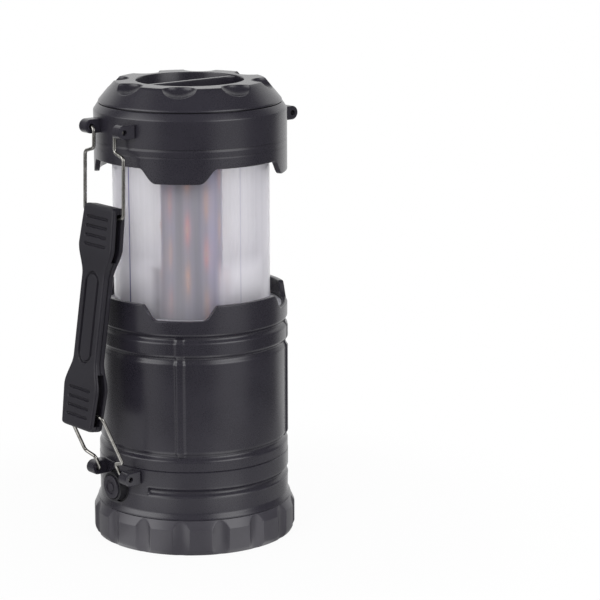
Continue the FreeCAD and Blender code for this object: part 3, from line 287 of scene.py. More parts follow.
def softGloss(name, look):  # painted, coated or printed small parts
    material, graph, place = startFinish(name)
    cloud = graph.noise(place, look["cloud"], detail=3.0)
    colour = graph.mix(cloud.step(*look["toneEdges"]), look["dark"], look["light"])
    rough = look["rough"] + (cloud - 0.5) * look["roughCloud"]
    return closeFinish(material, graph, {"Base Color": colour, "Roughness": rough})


boardLook = dict(dark=paint(28, 74, 44), light=paint(36, 90, 54), toneEdges=(0.3, 0.7), rough=0.35,
                 roughCloud=0.15, cloud=2.0)
sealLook = dict(boardLook, dark=paint(24, 24, 25), light=paint(32, 32, 33), rough=0.6, cloud=1.5)
chipLook = dict(boardLook, dark=paint(206, 146, 112), light=paint(218, 164, 128), rough=0.3, cloud=1.0)

slotFinish = {"shell_plastic": mouldedPlastic("shellPlastic", shellLook),
              "base_plastic": mouldedPlastic("basePlastic", baseLook),
              "grip_plastic": mouldedPlastic("gripPlastic", gripLook),
              "bezel_plastic": mouldedPlastic("bezelPlastic", bezelLook),
              "button_rubber": mouldedPlastic("buttonRubber", rubberLook),
              "inner_plastic": mouldedPlastic("innerPlastic", innerLook),
              "guide_plastic": mouldedPlastic("guidePlastic", guideLook),
              "reflector_plastic": mouldedPlastic("reflectorPlastic", reflectorLook),
              "column_plastic": mouldedPlastic("columnPlastic", columnLook),
              "wire_steel": brushedMetal("bailSteel", wireLook),
              "screw_steel": brushedMetal("screwSteel", screwLook),
              "contact_metal": brushedMetal("contactMetal", contactLook),
              "cell_can": brushedMetal("cellCan", cellLook),
              "clear_plastic": clearPlastic("tubePlastic", tubeLook),
              "circuit_board": softGloss("boardGreen", boardLook),
              "seal_rubber": softGloss("sealRubber", sealLook),
              "led_amber": softGloss("lightAmber", chipLook)}
print("finishes made")


# mesh tools

def smooth(share):  # 0 below 0, 1 above 1, smooth between
    share = np.clip(share, 0.0, 1.0)
    return share * share * (3 - 2 * share)


def softRamp(reach, blend):  # 0 below 0, the reach itself above, with a short curve between
    reach = np.asarray(reach, float)
    curve = (reach + blend) ** 2 / (4 * blend)
    return np.where(reach <= -blend, 0.0, np.where(reach >= blend, reach, curve))


def wrapped(angle, period):  # offset from the nearest multiple of the period
    return angle - np.round(angle / period) * period


def bend(start, corner, end, steps):  # a short curve that stands for a corner
    return [(1 - share) ** 2 * start + 2 * share * (1 - share) * corner + share ** 2 * end
            for share in np.linspace(0, 1, steps)]


def roundCorners(points, reaches, steps=6):  # an outline with each corner drawn as a short curve
    points = [np.array(point, float) for point in points]
    result = []
    for place, reach in enumerate(reaches):
        corner = points[place]
        if reach == 0:
            result.append(corner)
            continue
        before, after = points[place - 1] - corner, points[(place + 1) % len(points)] - corner
        start = corner + before * reach / np.linalg.norm(before)
        end = corner + after * reach / np.linalg.norm(after)
        result += bend(start, corner, end, steps)
    return result


def ringFaces(count, around, closed, first=0):  # quads of a loft through rings of points
    index = first + np.arange(count * around).reshape(count, around)
    low = index if closed else index[:-1]
    high = np.roll(index, -1, axis=0) if closed else index[1:]
    quads = [low, np.roll(low, -1, axis=1), np.roll(high, -1, axis=1), high]
    return np.stack(quads, axis=-1).reshape(-1, 4).tolist()


def fullTurn(count):
    return np.arange(count) * (2 * math.pi / count)


def turnedRow(radius, height, angles):  # one ring of points about the lantern axis
    radius = np.broadcast_to(radius, angles.shape)
    height = np.broadcast_to(height, angles.shape)
    return np.stack([radius * np.cos(angles), radius * np.sin(angles), height], axis=-1)


def turnedRows(profile, angles):
    return [turnedRow(radius, height, angles) for radius, height in profile]


def quarterRound(reach, height, radius, start, angles, count=5):  # rows round a quarter of a rounded edge
    turns = np.linspace(start, start + math.pi / 2, count)
    profile = [(reach + radius * math.cos(turn), height + radius * math.sin(turn)) for turn in turns]
    return turnedRows(profile, angles)


def linked(name, data):
    made = bpy.data.objects.new(name, data)
    bpy.context.scene.collection.objects.link(made)
    return made


def meshObject(name, points, faces, edges=()):
    mesh = bpy.data.meshes.new(name)
    mesh.from_pydata((np.asarray(points, float).reshape(-1, 3) * mm).tolist(), edges, faces)
    return linked(name, mesh)


def tidyMesh(piece, sharpAngle):  # welds poles, points every face outwards and smooths the shading
    work = bmesh.new()
    work.from_mesh(piece.data)
    bmesh.ops.remove_doubles(work, verts=work.verts, dist=weld * mm)
    bmesh.ops.dissolve_degenerate(work, edges=work.edges, dist=weld / 2 * mm)
    bmesh.ops.recalc_face_normals(work, faces=work.faces)
    work.to_mesh(piece.data)
    work.free()
    piece.data.polygons.foreach_set("use_smooth", [True] * len(piece.data.polygons))
    piece.data.set_sharp_from_angle(angle=math.radians(sharpAngle))


def loftPiece(name, rows, closed, sharpAngle):  # skins rings of points; an open loft gets end faces
    count, around = len(rows), len(rows[0])
    faces = ringFaces(count, around, closed)
    if not closed:
        faces += [list(range(around))[::-1], list(range(around * (count - 1), around * count))]
    piece = meshObject(name, rows, faces)
    tidyMesh(piece, sharpAngle)
    return piece


def bakeModifiers(piece):  # leaves the plain mesh that the modifiers give
    evaluated = piece.evaluated_get(bpy.context.evaluated_depsgraph_get())
    plain = bpy.data.meshes.new_from_object(evaluated)
    piece.modifiers.clear()
    piece.data = plain


def cutRound(piece, radius, place, along, depth, sides=96):  # drills a round hole through a piece
    work = bmesh.new()
    turned = Vector((0, 0, 1)).rotation_difference(Vector(along)).to_matrix().to_4x4()
    turned = Matrix.Translation(Vector(place) * mm) @ turned
    bmesh.ops.create_cone(work, segments=sides, cap_ends=True, radius1=radius * mm, radius2=radius * mm,
                          depth=depth * mm, matrix=turned)
    mesh = bpy.data.meshes.new("drill")
    work.to_mesh(mesh)
    work.free()
    drill = linked("drill", mesh)
    cut = piece.modifiers.new("hole", "BOOLEAN")
    cut.operation = "DIFFERENCE"
    cut.object = drill
    cut.solver = "EXACT"
    bakeModifiers(piece)
    bpy.data.objects.remove(drill)


def finishPiece(piece, body, slotName, *nodes):
    if not piece.data.materials:
        piece.data.materials.append(slotFinish[slotName])
    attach(piece, body)
    if nodes:
        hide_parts(*nodes)
    print("piece:", piece.name, len(piece.data.polygons), "faces")


# turned pieces: a profile of (radius, height) points swept round by Geometry Nodes

socketKinds = {int: "Int", float: "Float", tuple: "Vector", bpy.types.Material: "Material"}


class NodeModifier:  # a geometry tree with named inputs, put on a piece
    def __init__(self, name, slotName, sizes):
        self.tree = bpy.data.node_groups.new(name, "GeometryNodeTree")
        for way in ("INPUT", "OUTPUT"):
            self.tree.interface.new_socket("Geometry", in_out=way, socket_type="NodeSocketGeometry")
        self.values = {}
        for title, value in {**sizes, "Finish": slotFinish[slotName]}.items():
            kind = "NodeSocket" + socketKinds[type(value)]
            socket = self.tree.interface.new_socket(title, in_out="INPUT", socket_type=kind)
            self.values[socket.identifier] = value
        self.graph = Graph(self.tree)
        self.start = self.graph.node("NodeGroupInput")

    def get(self, name):
        return self.start.output(name)

    def bake(self, piece, geometry):
        real = self.graph.node("GeometryNodeRealizeInstances", {}, {"Geometry": geometry})
        painted = {"Geometry": real, "Material": self.get("Finish")}
        done = self.graph.node("GeometryNodeSetMaterial", {}, painted)
        self.graph.node("NodeGroupOutput", {}, {"Geometry": done})
        modifier = piece.modifiers.new(self.tree.name, "NODES")
        modifier.node_group = self.tree
        for identifier, value in self.values.items():
            modifier[identifier] = value
        bakeModifiers(piece)


def gridSpots(graph, across, rows):  # a grid of points, how far across it each one stands, and its row
    sockets = {"Size X": 1.0, "Size Y": 1.0, "Vertices X": across, "Vertices Y": rows}
    grid = graph.node("GeometryNodeMeshGrid", {}, sockets)
    spot = graph.split(graph.node("GeometryNodeInputPosition"))
    return grid, spot + 0.5, ((spot.output("Y") + 0.5) * (rows - 1)).math("ROUND")


def turnedPiece(name, form, profile, body, slotName, node, sizes=None, reshape=None):
    piece = meshObject(name, [(radius, 0.0, height) for radius, height in profile], [])
    nodes = NodeModifier(name + "Turning", slotName, {"Columns": form["columns"], **(sizes or {})})
    graph, outline = nodes.graph, nodes.start
    rows = graph.node("GeometryNodeAttributeDomainSize", {}, {"Geometry": outline}, out="Point Count")
    grid, share, row = gridSpots(graph, nodes.get("Columns") + 1, rows)
    angle = share * (2 * math.pi)
    sampled = {"Geometry": outline, "Value": graph.node("GeometryNodeInputPosition"), "Index": row}
    ring = graph.split(graph.node("GeometryNodeSampleIndex", {"data_type": "FLOAT_VECTOR"}, sampled))
    radius = reshape(nodes, ring, angle) if reshape else ring
    place = graph.polar(radius, angle, ring.output("Z"))
    bent = graph.node("GeometryNodeSetPosition", {}, {"Geometry": grid, "Position": place})
    welded = graph.node("GeometryNodeMergeByDistance", {}, {"Geometry": bent, "Distance": weld * mm})
    nodes.bake(piece, welded)
    if "height" in form:  # a piece made about Z is turned to point along -X
        raised = Matrix.Translation((0.0, 0.0, form["height"] * mm))
        piece.data.transform(raised @ Matrix.Rotation(-math.pi / 2, 4, "Y"))
    if "sharp" in form:
        tidyMesh(piece, form["sharp"])
    finishPiece(piece, body, slotName, node)


# base cover: a turned rim with finger flutes cut by upright cylinders

baseForm = dict(radius=43.0, footSet=1.0, footHeight=2.0, bevelFoot=11.0, seamRadius=41.3, seat=14.8,
                bore=37.55, spigotWall=2.0, floor=2.6, columns=640, bevelRows=14, flutes=16, fluteRadius=5.4,
                fluteDepth=1.5, fluteSoft=0.45)


def fluteRule(nodes, radius, angle):
    pitch = 2 * math.pi / nodes.get("Flute Count")
    offset = angle - (angle / pitch).math("ROUND") * pitch
    reach, cutter = nodes.get("Flute Reach"), nodes.get("Flute Radius")
    side = reach * offset.math("SINE")
    inside = (cutter * cutter - side * side).math("MAXIMUM", 0.0)
    cut = reach * offset.math("COSINE") - inside.math("SQRT")
    return radius.math("SMOOTH_MIN", cut, nodes.get("Flute Softness"))


def baseCover(form):
    wide, bore, rim = form["radius"], form["bore"], nodeBox("base_cover")[1].z
    inner = bore - form["spigotWall"]
    seam = (form["seamRadius"], form["seat"])
    bevel = np.linspace((wide, form["bevelFoot"]), seam, form["bevelRows"]).tolist()
    points = [(0, 0), (wide - form["footSet"], 0), (wide, form["footHeight"]), *bevel, (bore, form["seat"]),
              (bore, rim), (inner, rim), (inner, form["floor"]), (0, form["floor"])]
    reaches = [0, 0.5, 0.5, 0.12] + [0] * (form["bevelRows"] - 2) + [0.15, 0, 0.4, 0.4, 0.8, 0]
    sizes = {"Flute Count": float(form["flutes"]), "Flute Radius": form["fluteRadius"] * mm,
             "Flute Reach": (wide + form["fluteRadius"] - form["fluteDepth"]) * mm,
             "Flute Softness": form["fluteSoft"] * mm}
    profile = roundCorners(points, reaches)
    turnedPiece("baseCover", form, profile, "twist_cover", "base_plastic", "base_cover", sizes, fluteRule)


baseCover(baseForm)


# edges that rise and fall between the four corners

cornerTurn = math.pi / 2  # the notches, tabs and ribs stand at four corners, half a turn step off the axes


def cornerOffset(angles):
    return wrapped(angles - cornerTurn / 2, cornerTurn)


def slopedEdge(across, low, high, inner, outer, innerBlend, outerBlend):
    climb = softRamp(np.abs(across) - inner, innerBlend) - softRamp(np.abs(across) - outer, outerBlend)
    return low + (high - low) / (outer - inner) * climb


# body shell: flared foot, ring grooves, side panels, upright ribs and a notched collar

shellForm = dict(columns=600, bore=37.9, wall=40.2, flareTop=17.8, flareRows=8, panel=39.75,
                 plainRows=(31.5, 50.0, 56.0, 62.0, 68.0, 74.0), grooves=(24.1, 39.4, 80.7, 89.5),
                 grooveWide=4.4, grooveDeep=1.3, grooveSide=2.2, grooveRows=10, breakHalf=17.0, breakSide=0.5,
                 stepHeight=35.3, stepDeep=0.3, stepHalf=0.3, stepProud=0.12, ribHalf=1.1, ribSide=1.3,
                 ribTop=40.5, ribSaddle=39.5, ribFlare=0.2, ribFlareRun=1.2, notchFloor=99.2, notchInner=11.2,
                 notchOuter=15.4, floorBlend=1.7, lipBlend=0.6, lipRound=0.45, collarLead=1.5, boreRow=60.0,
                 boreDrop=2.0, holeHeight=25.6, holeRadius=7.03, holeDepth=12.0, sharp=32.0)


def shellRadius(form, height, angles):  # outside radius all round at one height
    foot = nodeBox("body_shell")[1].y
    low = nodeBox("body_shell")[0].z
    middle = form["grooveWide"] / 2
    flare = (foot - form["wall"]) * (1 - smooth((height - low) / (form["flareTop"] - low)))
    panelLow, panelHigh = form["grooves"][1] + middle, form["grooves"][2] + middle
    wall = form["panel"] if panelLow < height < panelHigh else form["wall"]
    proud = form["stepProud"] if form["grooves"][0] < height < form["stepHeight"] else 0.0
    notch = form["stepDeep"] * max(0.0, 1 - abs(height - form["stepHeight"]) / form["stepHalf"])
    radius = np.full(angles.shape, wall + flare + proud - notch)
    floor = form["wall"] - form["grooveDeep"]
    across = np.abs(wrapped(angles - math.pi, 2 * math.pi)) * form["wall"]
    ribTop = np.full(angles.shape, form["ribTop"])
    for number, start in enumerate(form["grooves"]):
        end = start + form["grooveWide"]
        share = smooth((height - start) / form["grooveSide"]) * smooth((end - height) / form["grooveSide"])
        if number == 0:  # the lowest groove stops short of the button
            share = share * smooth((across - form["breakHalf"]) / form["breakSide"] + 0.5)
        radius += (floor - radius) * share
        ribTop += (form["ribSaddle"] - ribTop) * share
    if panelLow < height < form["grooves"][3] + middle:
        edges = [edge for start in form["grooves"][1:] for edge in (start, start + form["grooveWide"])]
        nearest = min(abs(height - edge) for edge in edges)
        half = form["ribHalf"] + form["ribFlare"] * (1 - smooth(nearest / form["ribFlareRun"]))
        rib = 1 - smooth((np.abs(cornerOffset(angles)) * form["wall"] - half) / form["ribSide"])
        radius += rib * np.maximum(ribTop - radius, 0.0)
    return radius


def shellHeights(form, low):  # rows of points stand close together where the wall bends
    heights = [*np.linspace(low, form["flareTop"], form["flareRows"]), *form["plainRows"]]
    near = np.linspace(-0.2, form["grooveSide"] + 0.1, form["grooveRows"])
    for start in form["grooves"]:
        end, middle = start + form["grooveWide"], start + form["grooveWide"] / 2
        heights += [*(start + near), *(end - near), middle - 0.02, middle + 0.02]
        heights += [start - 0.6, start - 1.3, end + 0.6, end + 1.3]
    shares = np.array([-1.2, -1, -0.5, -0.02, 0.02, 0.5, 1, 1.2])
    heights += list(form["stepHeight"] + form["stepHalf"] * shares)
    return sorted(heights)


def bodyShell(form):
    angles = fullTurn(form["columns"])
    low, high = nodeBox("body_shell")
    wall, bore, lip = form["wall"], form["bore"], form["lipRound"]
    heights = shellHeights(form, low.z)
    rows = [turnedRow(shellRadius(form, height, angles), height, angles) for height in heights]
    top = slopedEdge(wall * np.sin(cornerOffset(angles)), form["notchFloor"], high.z, form["notchInner"],
                     form["notchOuter"], form["floorBlend"], form["lipBlend"])
    start = form["grooves"][3] + form["grooveWide"] + form["collarLead"]
    collar = [(wall, start + (top - lip - start) * share) for share in (0.25, 0.5, 0.75, 0.92)]
    rows += turnedRows(collar, angles)
    rows += quarterRound(wall - lip, top - lip, lip, 0.0, angles)
    rows += quarterRound(bore + lip, top - lip, lip, math.pi / 2, angles)
    inside = (form["notchFloor"] - form["boreDrop"], form["boreRow"], low.z)
    rows += turnedRows([(bore, height) for height in inside], angles)
    piece = loftPiece("bodyShell", rows, True, form["sharp"])
    cutRound(piece, form["holeRadius"], (-wall, 0.0, form["holeHeight"]), (1, 0, 0), form["holeDepth"])
    piece.data.set_sharp_from_angle(angle=math.radians(form["sharp"]))
    finishPiece(piece, "lamp_body", "shell_plastic", "body_shell")


bodyShell(shellForm)


# cap skirt: a wall with hanging tabs, a fine band and a top flange

skirtForm = dict(columns=600, wall=2.2, edge=161.9, tabInner=10.6, tabOuter=15.2, endBlend=1.8, rootBlend=0.9,
                 edgeRound=0.4, lines=((166.5, 0.35, 0.18), (169.5, 0.5, 0.4)), lineLead=1.2,
                 plainRows=(173.0, 177.0), inset=4.0, shoulderSet=1.9, shoulderHeight=2.8, shoulderRound=0.35,
                 topRise=1.0, flange=2.2, flangeBore=35.05, flangeRound=0.6, sharp=32.0)


def capSkirt(form):
    angles = fullTurn(form["columns"])
    low, high = nodeBox("cap_skirt")
    outer, top = high.y, high.z + form["topRise"]
    inner, under = outer - form["wall"], high.z - form["flange"]
    small, soft, bore = form["edgeRound"], form["shoulderRound"], form["flangeBore"]
    edge = slopedEdge(outer * np.sin(cornerOffset(angles)), low.z, form["edge"], form["tabInner"],
                      form["tabOuter"], form["endBlend"], form["rootBlend"])
    rows = quarterRound(inner + small, edge + small, small, math.pi, angles)
    rows += quarterRound(outer - small, edge + small, small, 1.5 * math.pi, angles)
    start = form["lines"][0][0] - form["lineLead"]
    wallRows = [(outer, edge + small + (start - edge - small) * share) for share in (0.1, 0.4, 0.7, 1.0)]
    for line, half, deep in form["lines"]:  # height, half width and depth of a fine groove
        for share, sunk in ((-1.4, 0.0), (-1.0, 0.0), (0.6, 1.0), (0.8, 1.0), (1.0, 0.0), (1.4, 0.0)):
            wallRows.append((outer - deep * sunk, line + share * half))
    wallRows += [(outer, height) for height in form["plainRows"]]
    shoulder = [(outer, top - form["inset"]), (outer, top - form["shoulderHeight"]),
                (outer - form["shoulderSet"], top), (bore, top), (bore, under), (inner, under),
                (inner, high.z - form["inset"])]
    wallRows += roundCorners(shoulder, [0, soft, soft, 0, 0, form["flangeRound"], 0])
    wallRows.append((inner, form["edge"] + form["inset"]))
    piece = loftPiece("capSkirt", rows + turnedRows(wallRows, angles), True, form["sharp"])
    finishPiece(piece, "lamp_cap", "shell_plastic", "cap_skirt")


capSkirt(skirtForm)


# cap crown: a cone with scooped finger hollows, a dish and a pull bar across it

crownForm = dict(columns=720, seam=37.2, lip=184.75, foot=185.3, footRound=0.35, rim=32.0, rimEdge=0.7,
                 spigot=34.9, spigotLow=181.2, dish=22.5, dishFoot=21.5, dishFloor=184.5, hollow=32.7,
                 roof=186.5, core=24.7, under=182.3, edge=0.4, edgeMost=0.4, edgePull=0.25, edgeRows=5,
                 scoops=8, scoopRadius=7.5, scoopReach=33.0, scoopRise=0.6, scoopSquash=1.75, arcRows=22,
                 rimLip=0.6, barHalf=1.3, barDrop=0.5, barRound=0.45, barFlare=0.9, barFlareAt=0.82,
                 barSink=0.2, barRows=41, sharp=38.0)


def scoopedRows(form, angles, top):  # cone, scoops and rim, from the foot of the cone to the flat rim
    squash = form["scoopSquash"]  # heights are counted from the rim and stretched, so that a scoop is round
    foot = np.array([nodeBox("cap_crown")[1].x, (form["foot"] - top) * squash])
    slope = (form["rim"] - foot[0]) / (top - form["rimEdge"] - form["foot"])
    corner = np.array([foot[0] + slope * (top - form["foot"]), 0.0])
    length = np.linalg.norm(corner - foot)
    along = (corner - foot) / length
    offset = wrapped(angles, 2 * math.pi / form["scoops"])
    rise = np.full(angles.shape, form["scoopRise"] * squash)
    centre = np.stack([form["scoopReach"] * np.cos(offset), rise], axis=-1)
    ball = form["scoopRadius"] ** 2 - (form["scoopReach"] * np.sin(offset)) ** 2
    scooped = ((corner - centre) ** 2).sum(axis=-1) < ball
    near = ((centre - foot) * along).sum(axis=-1)
    reach = near ** 2 - ((centre - foot) ** 2).sum(axis=-1) + ball
    lowCut = np.where(scooped, near - np.sqrt(np.maximum(reach, 0.0)), length)
    lowPoint = foot + lowCut[:, None] * along
    highRadius = centre[:, 0] - np.sqrt(np.maximum(ball - centre[:, 1] ** 2, 0.0))
    highPoint = np.stack([np.where(scooped, highRadius, corner[0]), np.zeros(angles.shape)], axis=-1)
    arcRadius = np.sqrt(np.maximum(ball, tiny))
    lowTurn = np.arctan2(lowPoint[:, 1] - centre[:, 1], lowPoint[:, 0] - centre[:, 0])
    highTurn = np.arctan2(highPoint[:, 1] - centre[:, 1], highPoint[:, 0] - centre[:, 0])
    arcLength = np.where(scooped, np.abs(lowTurn - highTurn) * arcRadius, 0.0)
    soft = form["edge"]
    share = np.where(scooped, np.minimum(soft / np.maximum(arcLength, tiny), form["edgeMost"]), 0.0)
    inward = np.array([-1.0, 0.0])
    fade = np.exp(-arcLength / soft)[:, None]
    pull = fade * form["edgePull"] * soft * (inward - along)  # rounds the corner between scoops

    def arc(position):
        turn = lowTurn + (highTurn - lowTurn) * position
        point = centre + arcRadius[:, None] * np.stack([np.cos(turn), np.sin(turn)], axis=-1)
        return np.where(scooped[:, None], point, corner) + pull

    climb = (lowCut - soft)[:, None] * along
    sections = [foot + climb * part for part in (0.2, 0.45, 0.7, 0.9)]
    sections += bend(foot + climb, lowPoint + pull, arc(share), form["edgeRows"])
    sections += [arc(share + (1 - 2 * share) * part) for part in np.linspace(0, 1, form["arcRows"])[1:-1]]
    last = highPoint + soft * inward
    sections += bend(arc(1 - share), highPoint + pull, last, form["edgeRows"])
    inner = np.array([form["dish"] + form["rimLip"], 0.0])
    sections += [last + (inner - last) * part for part in (0.3, 0.65)]
    return turnedRows([(section[:, 0], top + section[:, 1] / squash) for section in sections], angles)


def capCrown(form):
    angles = fullTurn(form["columns"])
    top, wide = nodeBox("cap_crown")[1].z, nodeBox("cap_crown")[1].x
    skirtTop = nodeBox("cap_skirt")[1].z + skirtForm["topRise"]
    slope = (form["rim"] - wide) / (top - form["rimEdge"] - form["foot"])
    start = 2 * form["footRound"]  # the cone's own rows begin past the rounded foot
    below = roundCorners([(form["spigot"], form["spigotLow"]), (form["spigot"], skirtTop),
                          (form["seam"], skirtTop), (form["seam"], form["lip"]), (wide, form["lip"]),
                          (wide, form["foot"]), (wide + slope * start, form["foot"] + start)],
                         [0, 0, 0, 0.1, 0.15, form["footRound"], 0])
    inside = roundCorners([(form["dish"] + form["rimLip"], top), (form["dish"], top),
                           (form["dishFoot"], form["dishFloor"]), (0.0, form["dishFloor"])], [0, 0.5, 0.9, 0])
    inside += [(0.0, form["under"]), (form["core"], form["under"]), (form["core"], form["roof"]),
               (form["hollow"], form["roof"]), (form["hollow"], form["spigotLow"])]
    rows = turnedRows(below, angles) + scoopedRows(form, angles, top) + turnedRows(inside, angles)
    piece = loftPiece("capCrown", rows, True, form["sharp"])
    finishPiece(piece, "lamp_cap", "shell_plastic", "cap_crown")


def pullBar(form):
    top = nodeBox("cap_crown")[1].z - form["barDrop"]
    bottom = form["dishFloor"] - form["barSink"]
    rows = []
    for place in np.linspace(-1, 1, form["barRows"]):
        flare = smooth((abs(place) - form["barFlareAt"]) / (1 - form["barFlareAt"]))
        half = form["barHalf"] + form["barFlare"] * flare
        corners = [(-half, bottom), (half, bottom), (half, top), (-half, top)]
        outline = roundCorners(corners, [0, 0, form["barRound"], form["barRound"]], 5)
        rows.append([(place * (form["dish"] + form["barSink"]), side, height) for side, height in outline])
    finishPiece(loftPiece("pullBar", rows, False, form["sharp"]), "lamp_cap", "shell_plastic")


capCrown(crownForm)
pullBar(crownForm)


# lugs: tongues on the walls with a cross hole for the wire ends

lugForm = dict(inner=9.0, outer=14.1, round=2.9, hole=1.15, root=38.4, edge=0.4, turns=64, sharp=34.0)


def lugPoints(form, pivot, side, across):  # rings of one lug, on the side of x and of y that the signs give
    turns = fullTurn(form["turns"])
    cosine, sine = np.cos(turns), np.sin(turns)
    depth = abs(pivot.x) - form["root"]
    block = np.minimum(form["round"] / np.maximum(np.abs(sine), tiny), depth / np.maximum(-cosine, tiny))
    reach = np.where(cosine >= 0, form["round"], block)
    inner, outer, edge = form["inner"], form["outer"], form["edge"]
    plan = [(inner, None), (inner, edge), (inner + edge, 0.0), (outer - edge, 0.0), (outer, edge),
            (outer, None)]  # None stands for the hole
    rings = []
    for place, inset in plan:
        radius = form["hole"] if inset is None else reach - inset
        rings.append(np.stack([side * (abs(pivot.x) + radius * cosine), np.full(turns.shape, across * place),
                               pivot.z + radius * sine], axis=-1))
    return rings


def lugs(name, form, pivot, sides, body):
    points, faces = [], []
    for side in sides:
        for across in (-1, 1):
            rings = lugPoints(form, pivot, side, across)
            faces += ringFaces(len(rings), form["turns"], True, len(points) * form["turns"])
            points += rings
    piece = meshObject(name, points, faces)
    tidyMesh(piece, form["sharp"])
    finishPiece(piece, body, "shell_plastic")


lugs("capLugs", lugForm, jointAt["top_bail_swing"], (-1, 1), "lamp_cap")
lugs("shellLugs", lugForm, jointAt["bottom_bail_swing"], (-1,), "lamp_body")


# wire bails: a bent path swept by Geometry Nodes

bailForm = dict(inner=7.3, outer=13.5, end=12.6, bend=1.9, bendSteps=7, sides=20, upperJog=8.6, lowerJog=6.6,
                jogRun=1.8, radius=0.75, sharp=50.0)


def wireBail(name, form, pivot, pin, jogStart, body, node):
    run = pin - pivot
    length = math.hypot(run.x, run.z)
    half = [(0.0, form["end"]), (0.0, form["inner"]), (jogStart, form["inner"]),
            (jogStart + form["jogRun"], form["outer"]), (length, form["outer"])]
    path = half + [(along, -across) for along, across in half[::-1]]
    points = [(pivot.x + run.x * along / length, across, pivot.z + run.z * along / length)
              for along, across in path]
    piece = meshObject(name, points, [], [(n, n + 1) for n in range(len(points) - 1)])
    sizes = {"Wire Radius": form["radius"] * mm, "Bend Radius": form["bend"] * mm}
    nodes = NodeModifier(name + "Sweep", "wire_steel", sizes)
    graph = nodes.graph
    curve = graph.node("GeometryNodeMeshToCurve", {}, {"Mesh": nodes.start})
    bent = graph.node("GeometryNodeFilletCurve", {"mode": "POLY"}, {
        "Curve": curve, "Count": form["bendSteps"], "Radius": nodes.get("Bend Radius"), "Limit Radius": True})
    ring = graph.node("GeometryNodeCurvePrimitiveCircle", {}, {"Resolution": form["sides"],
                                                              "Radius": nodes.get("Wire Radius")})
    sweep = {"Curve": bent, "Profile Curve": ring, "Fill Caps": True}
    nodes.bake(piece, graph.node("GeometryNodeCurveToMesh", {}, sweep))
    tidyMesh(piece, form["sharp"])
    finishPiece(piece, body, "wire_steel", node)


solidWire = nodeBox("upper_bail")[1].z - jointAt["top_bail_swing"].z  # radius of the wire in the solids
lowerPin = Vector((nodeBox("lower_bail")[0].x + solidWire, 0.0, nodeBox("lower_bail")[1].z - solidWire))
wireBail("upperBail", bailForm, jointAt["top_bail_swing"], jointAt["grip_swing"], bailForm["upperJog"],
         "top_bail", "upper_bail")
wireBail("lowerBail", bailForm, jointAt["bottom_bail_swing"], lowerPin, bailForm["lowerJog"], "bottom_bail",
         "lower_bail")


# grip: two moulded halves with wire slots between them

gripForm = dict(lead=3.9, length=92.5, endHalf=10.4, bulgeHalf=11.7, waistHalf=8.1, bulgeAt=16.5,
                waistAt=29.5, thick=3.2, waistThick=2.5, corner=1.4, cornerRows=8, edge=1.0, edgeRows=7,
                gap=0.06, innerEdge=0.3, slots=((2.4, 22.4, 1.1), (68.7, 90.1, 1.4)), slotSkin=0.2,
                panelHalf=4.1, panelLength=37.0, lineHalf=0.6, lineDeep=0.9, lineFlat=0.5, lineSlope=0.7,
                ridges=4, ridgeFirst=5.2, ridgePitch=3.75, ridgeHalf=0.55, ridgeReach=7.4, ridgeDeep=0.7,
                ridgeSpread=1.25, ridgeSlope=0.8, step=0.3, across=76, sharp=40.0)


def gripPlaces(form):  # where the cuts across the grip stand along its length
    length, corner, step = form["length"], form["corner"], form["step"]
    turns = np.linspace(0, math.pi / 2, form["cornerRows"])
    places = np.concatenate([corner * (1 - np.cos(turns)), np.arange(corner + step, length - corner, step),
                             length - corner * (1 - np.sin(turns))])
    exact = [edge + side for slot in form["slots"] for edge in slot[:2] for side in (-0.02, 0.02)]
    for ridge in form["ridgeFirst"] + form["ridgePitch"] * np.arange(form["ridges"]):
        rises = ridge + form["ridgeHalf"] * np.array([-1.3, -1.0, -0.7, -0.4, 0.0, 0.4, 0.7, 1.0, 1.3])
        exact += [*rises, *(length - rises)]
    exact = np.array(exact)
    apart = [place for place in places if np.abs(exact - place).min() > step / 2]
    return np.unique(np.concatenate([apart, exact]))


def gripHalf(name, form, front, node):
    pin = jointAt["grip_swing"]
    run = lowerPin - pin
    lean = math.atan2(-run.x, -run.z)
    down = np.array([-math.sin(lean), 0.0, -math.cos(lean)])
    outward = np.array([-math.cos(lean), 0.0, math.sin(lean)]) * (1 if front else -1)
    start = np.array(pin) - down * form["lead"]
    rows = []
    for place in gripPlaces(form):
        section = np.array(gripSection(form, place, front))
        sideways = np.outer(section[:, 0], (0.0, 1.0, 0.0))
        rows.append(start + place * down + sideways + np.outer(section[:, 1], outward))
    finishPiece(loftPiece(name, rows, False, form["sharp"]), "handle_grip", "grip_plastic", node)


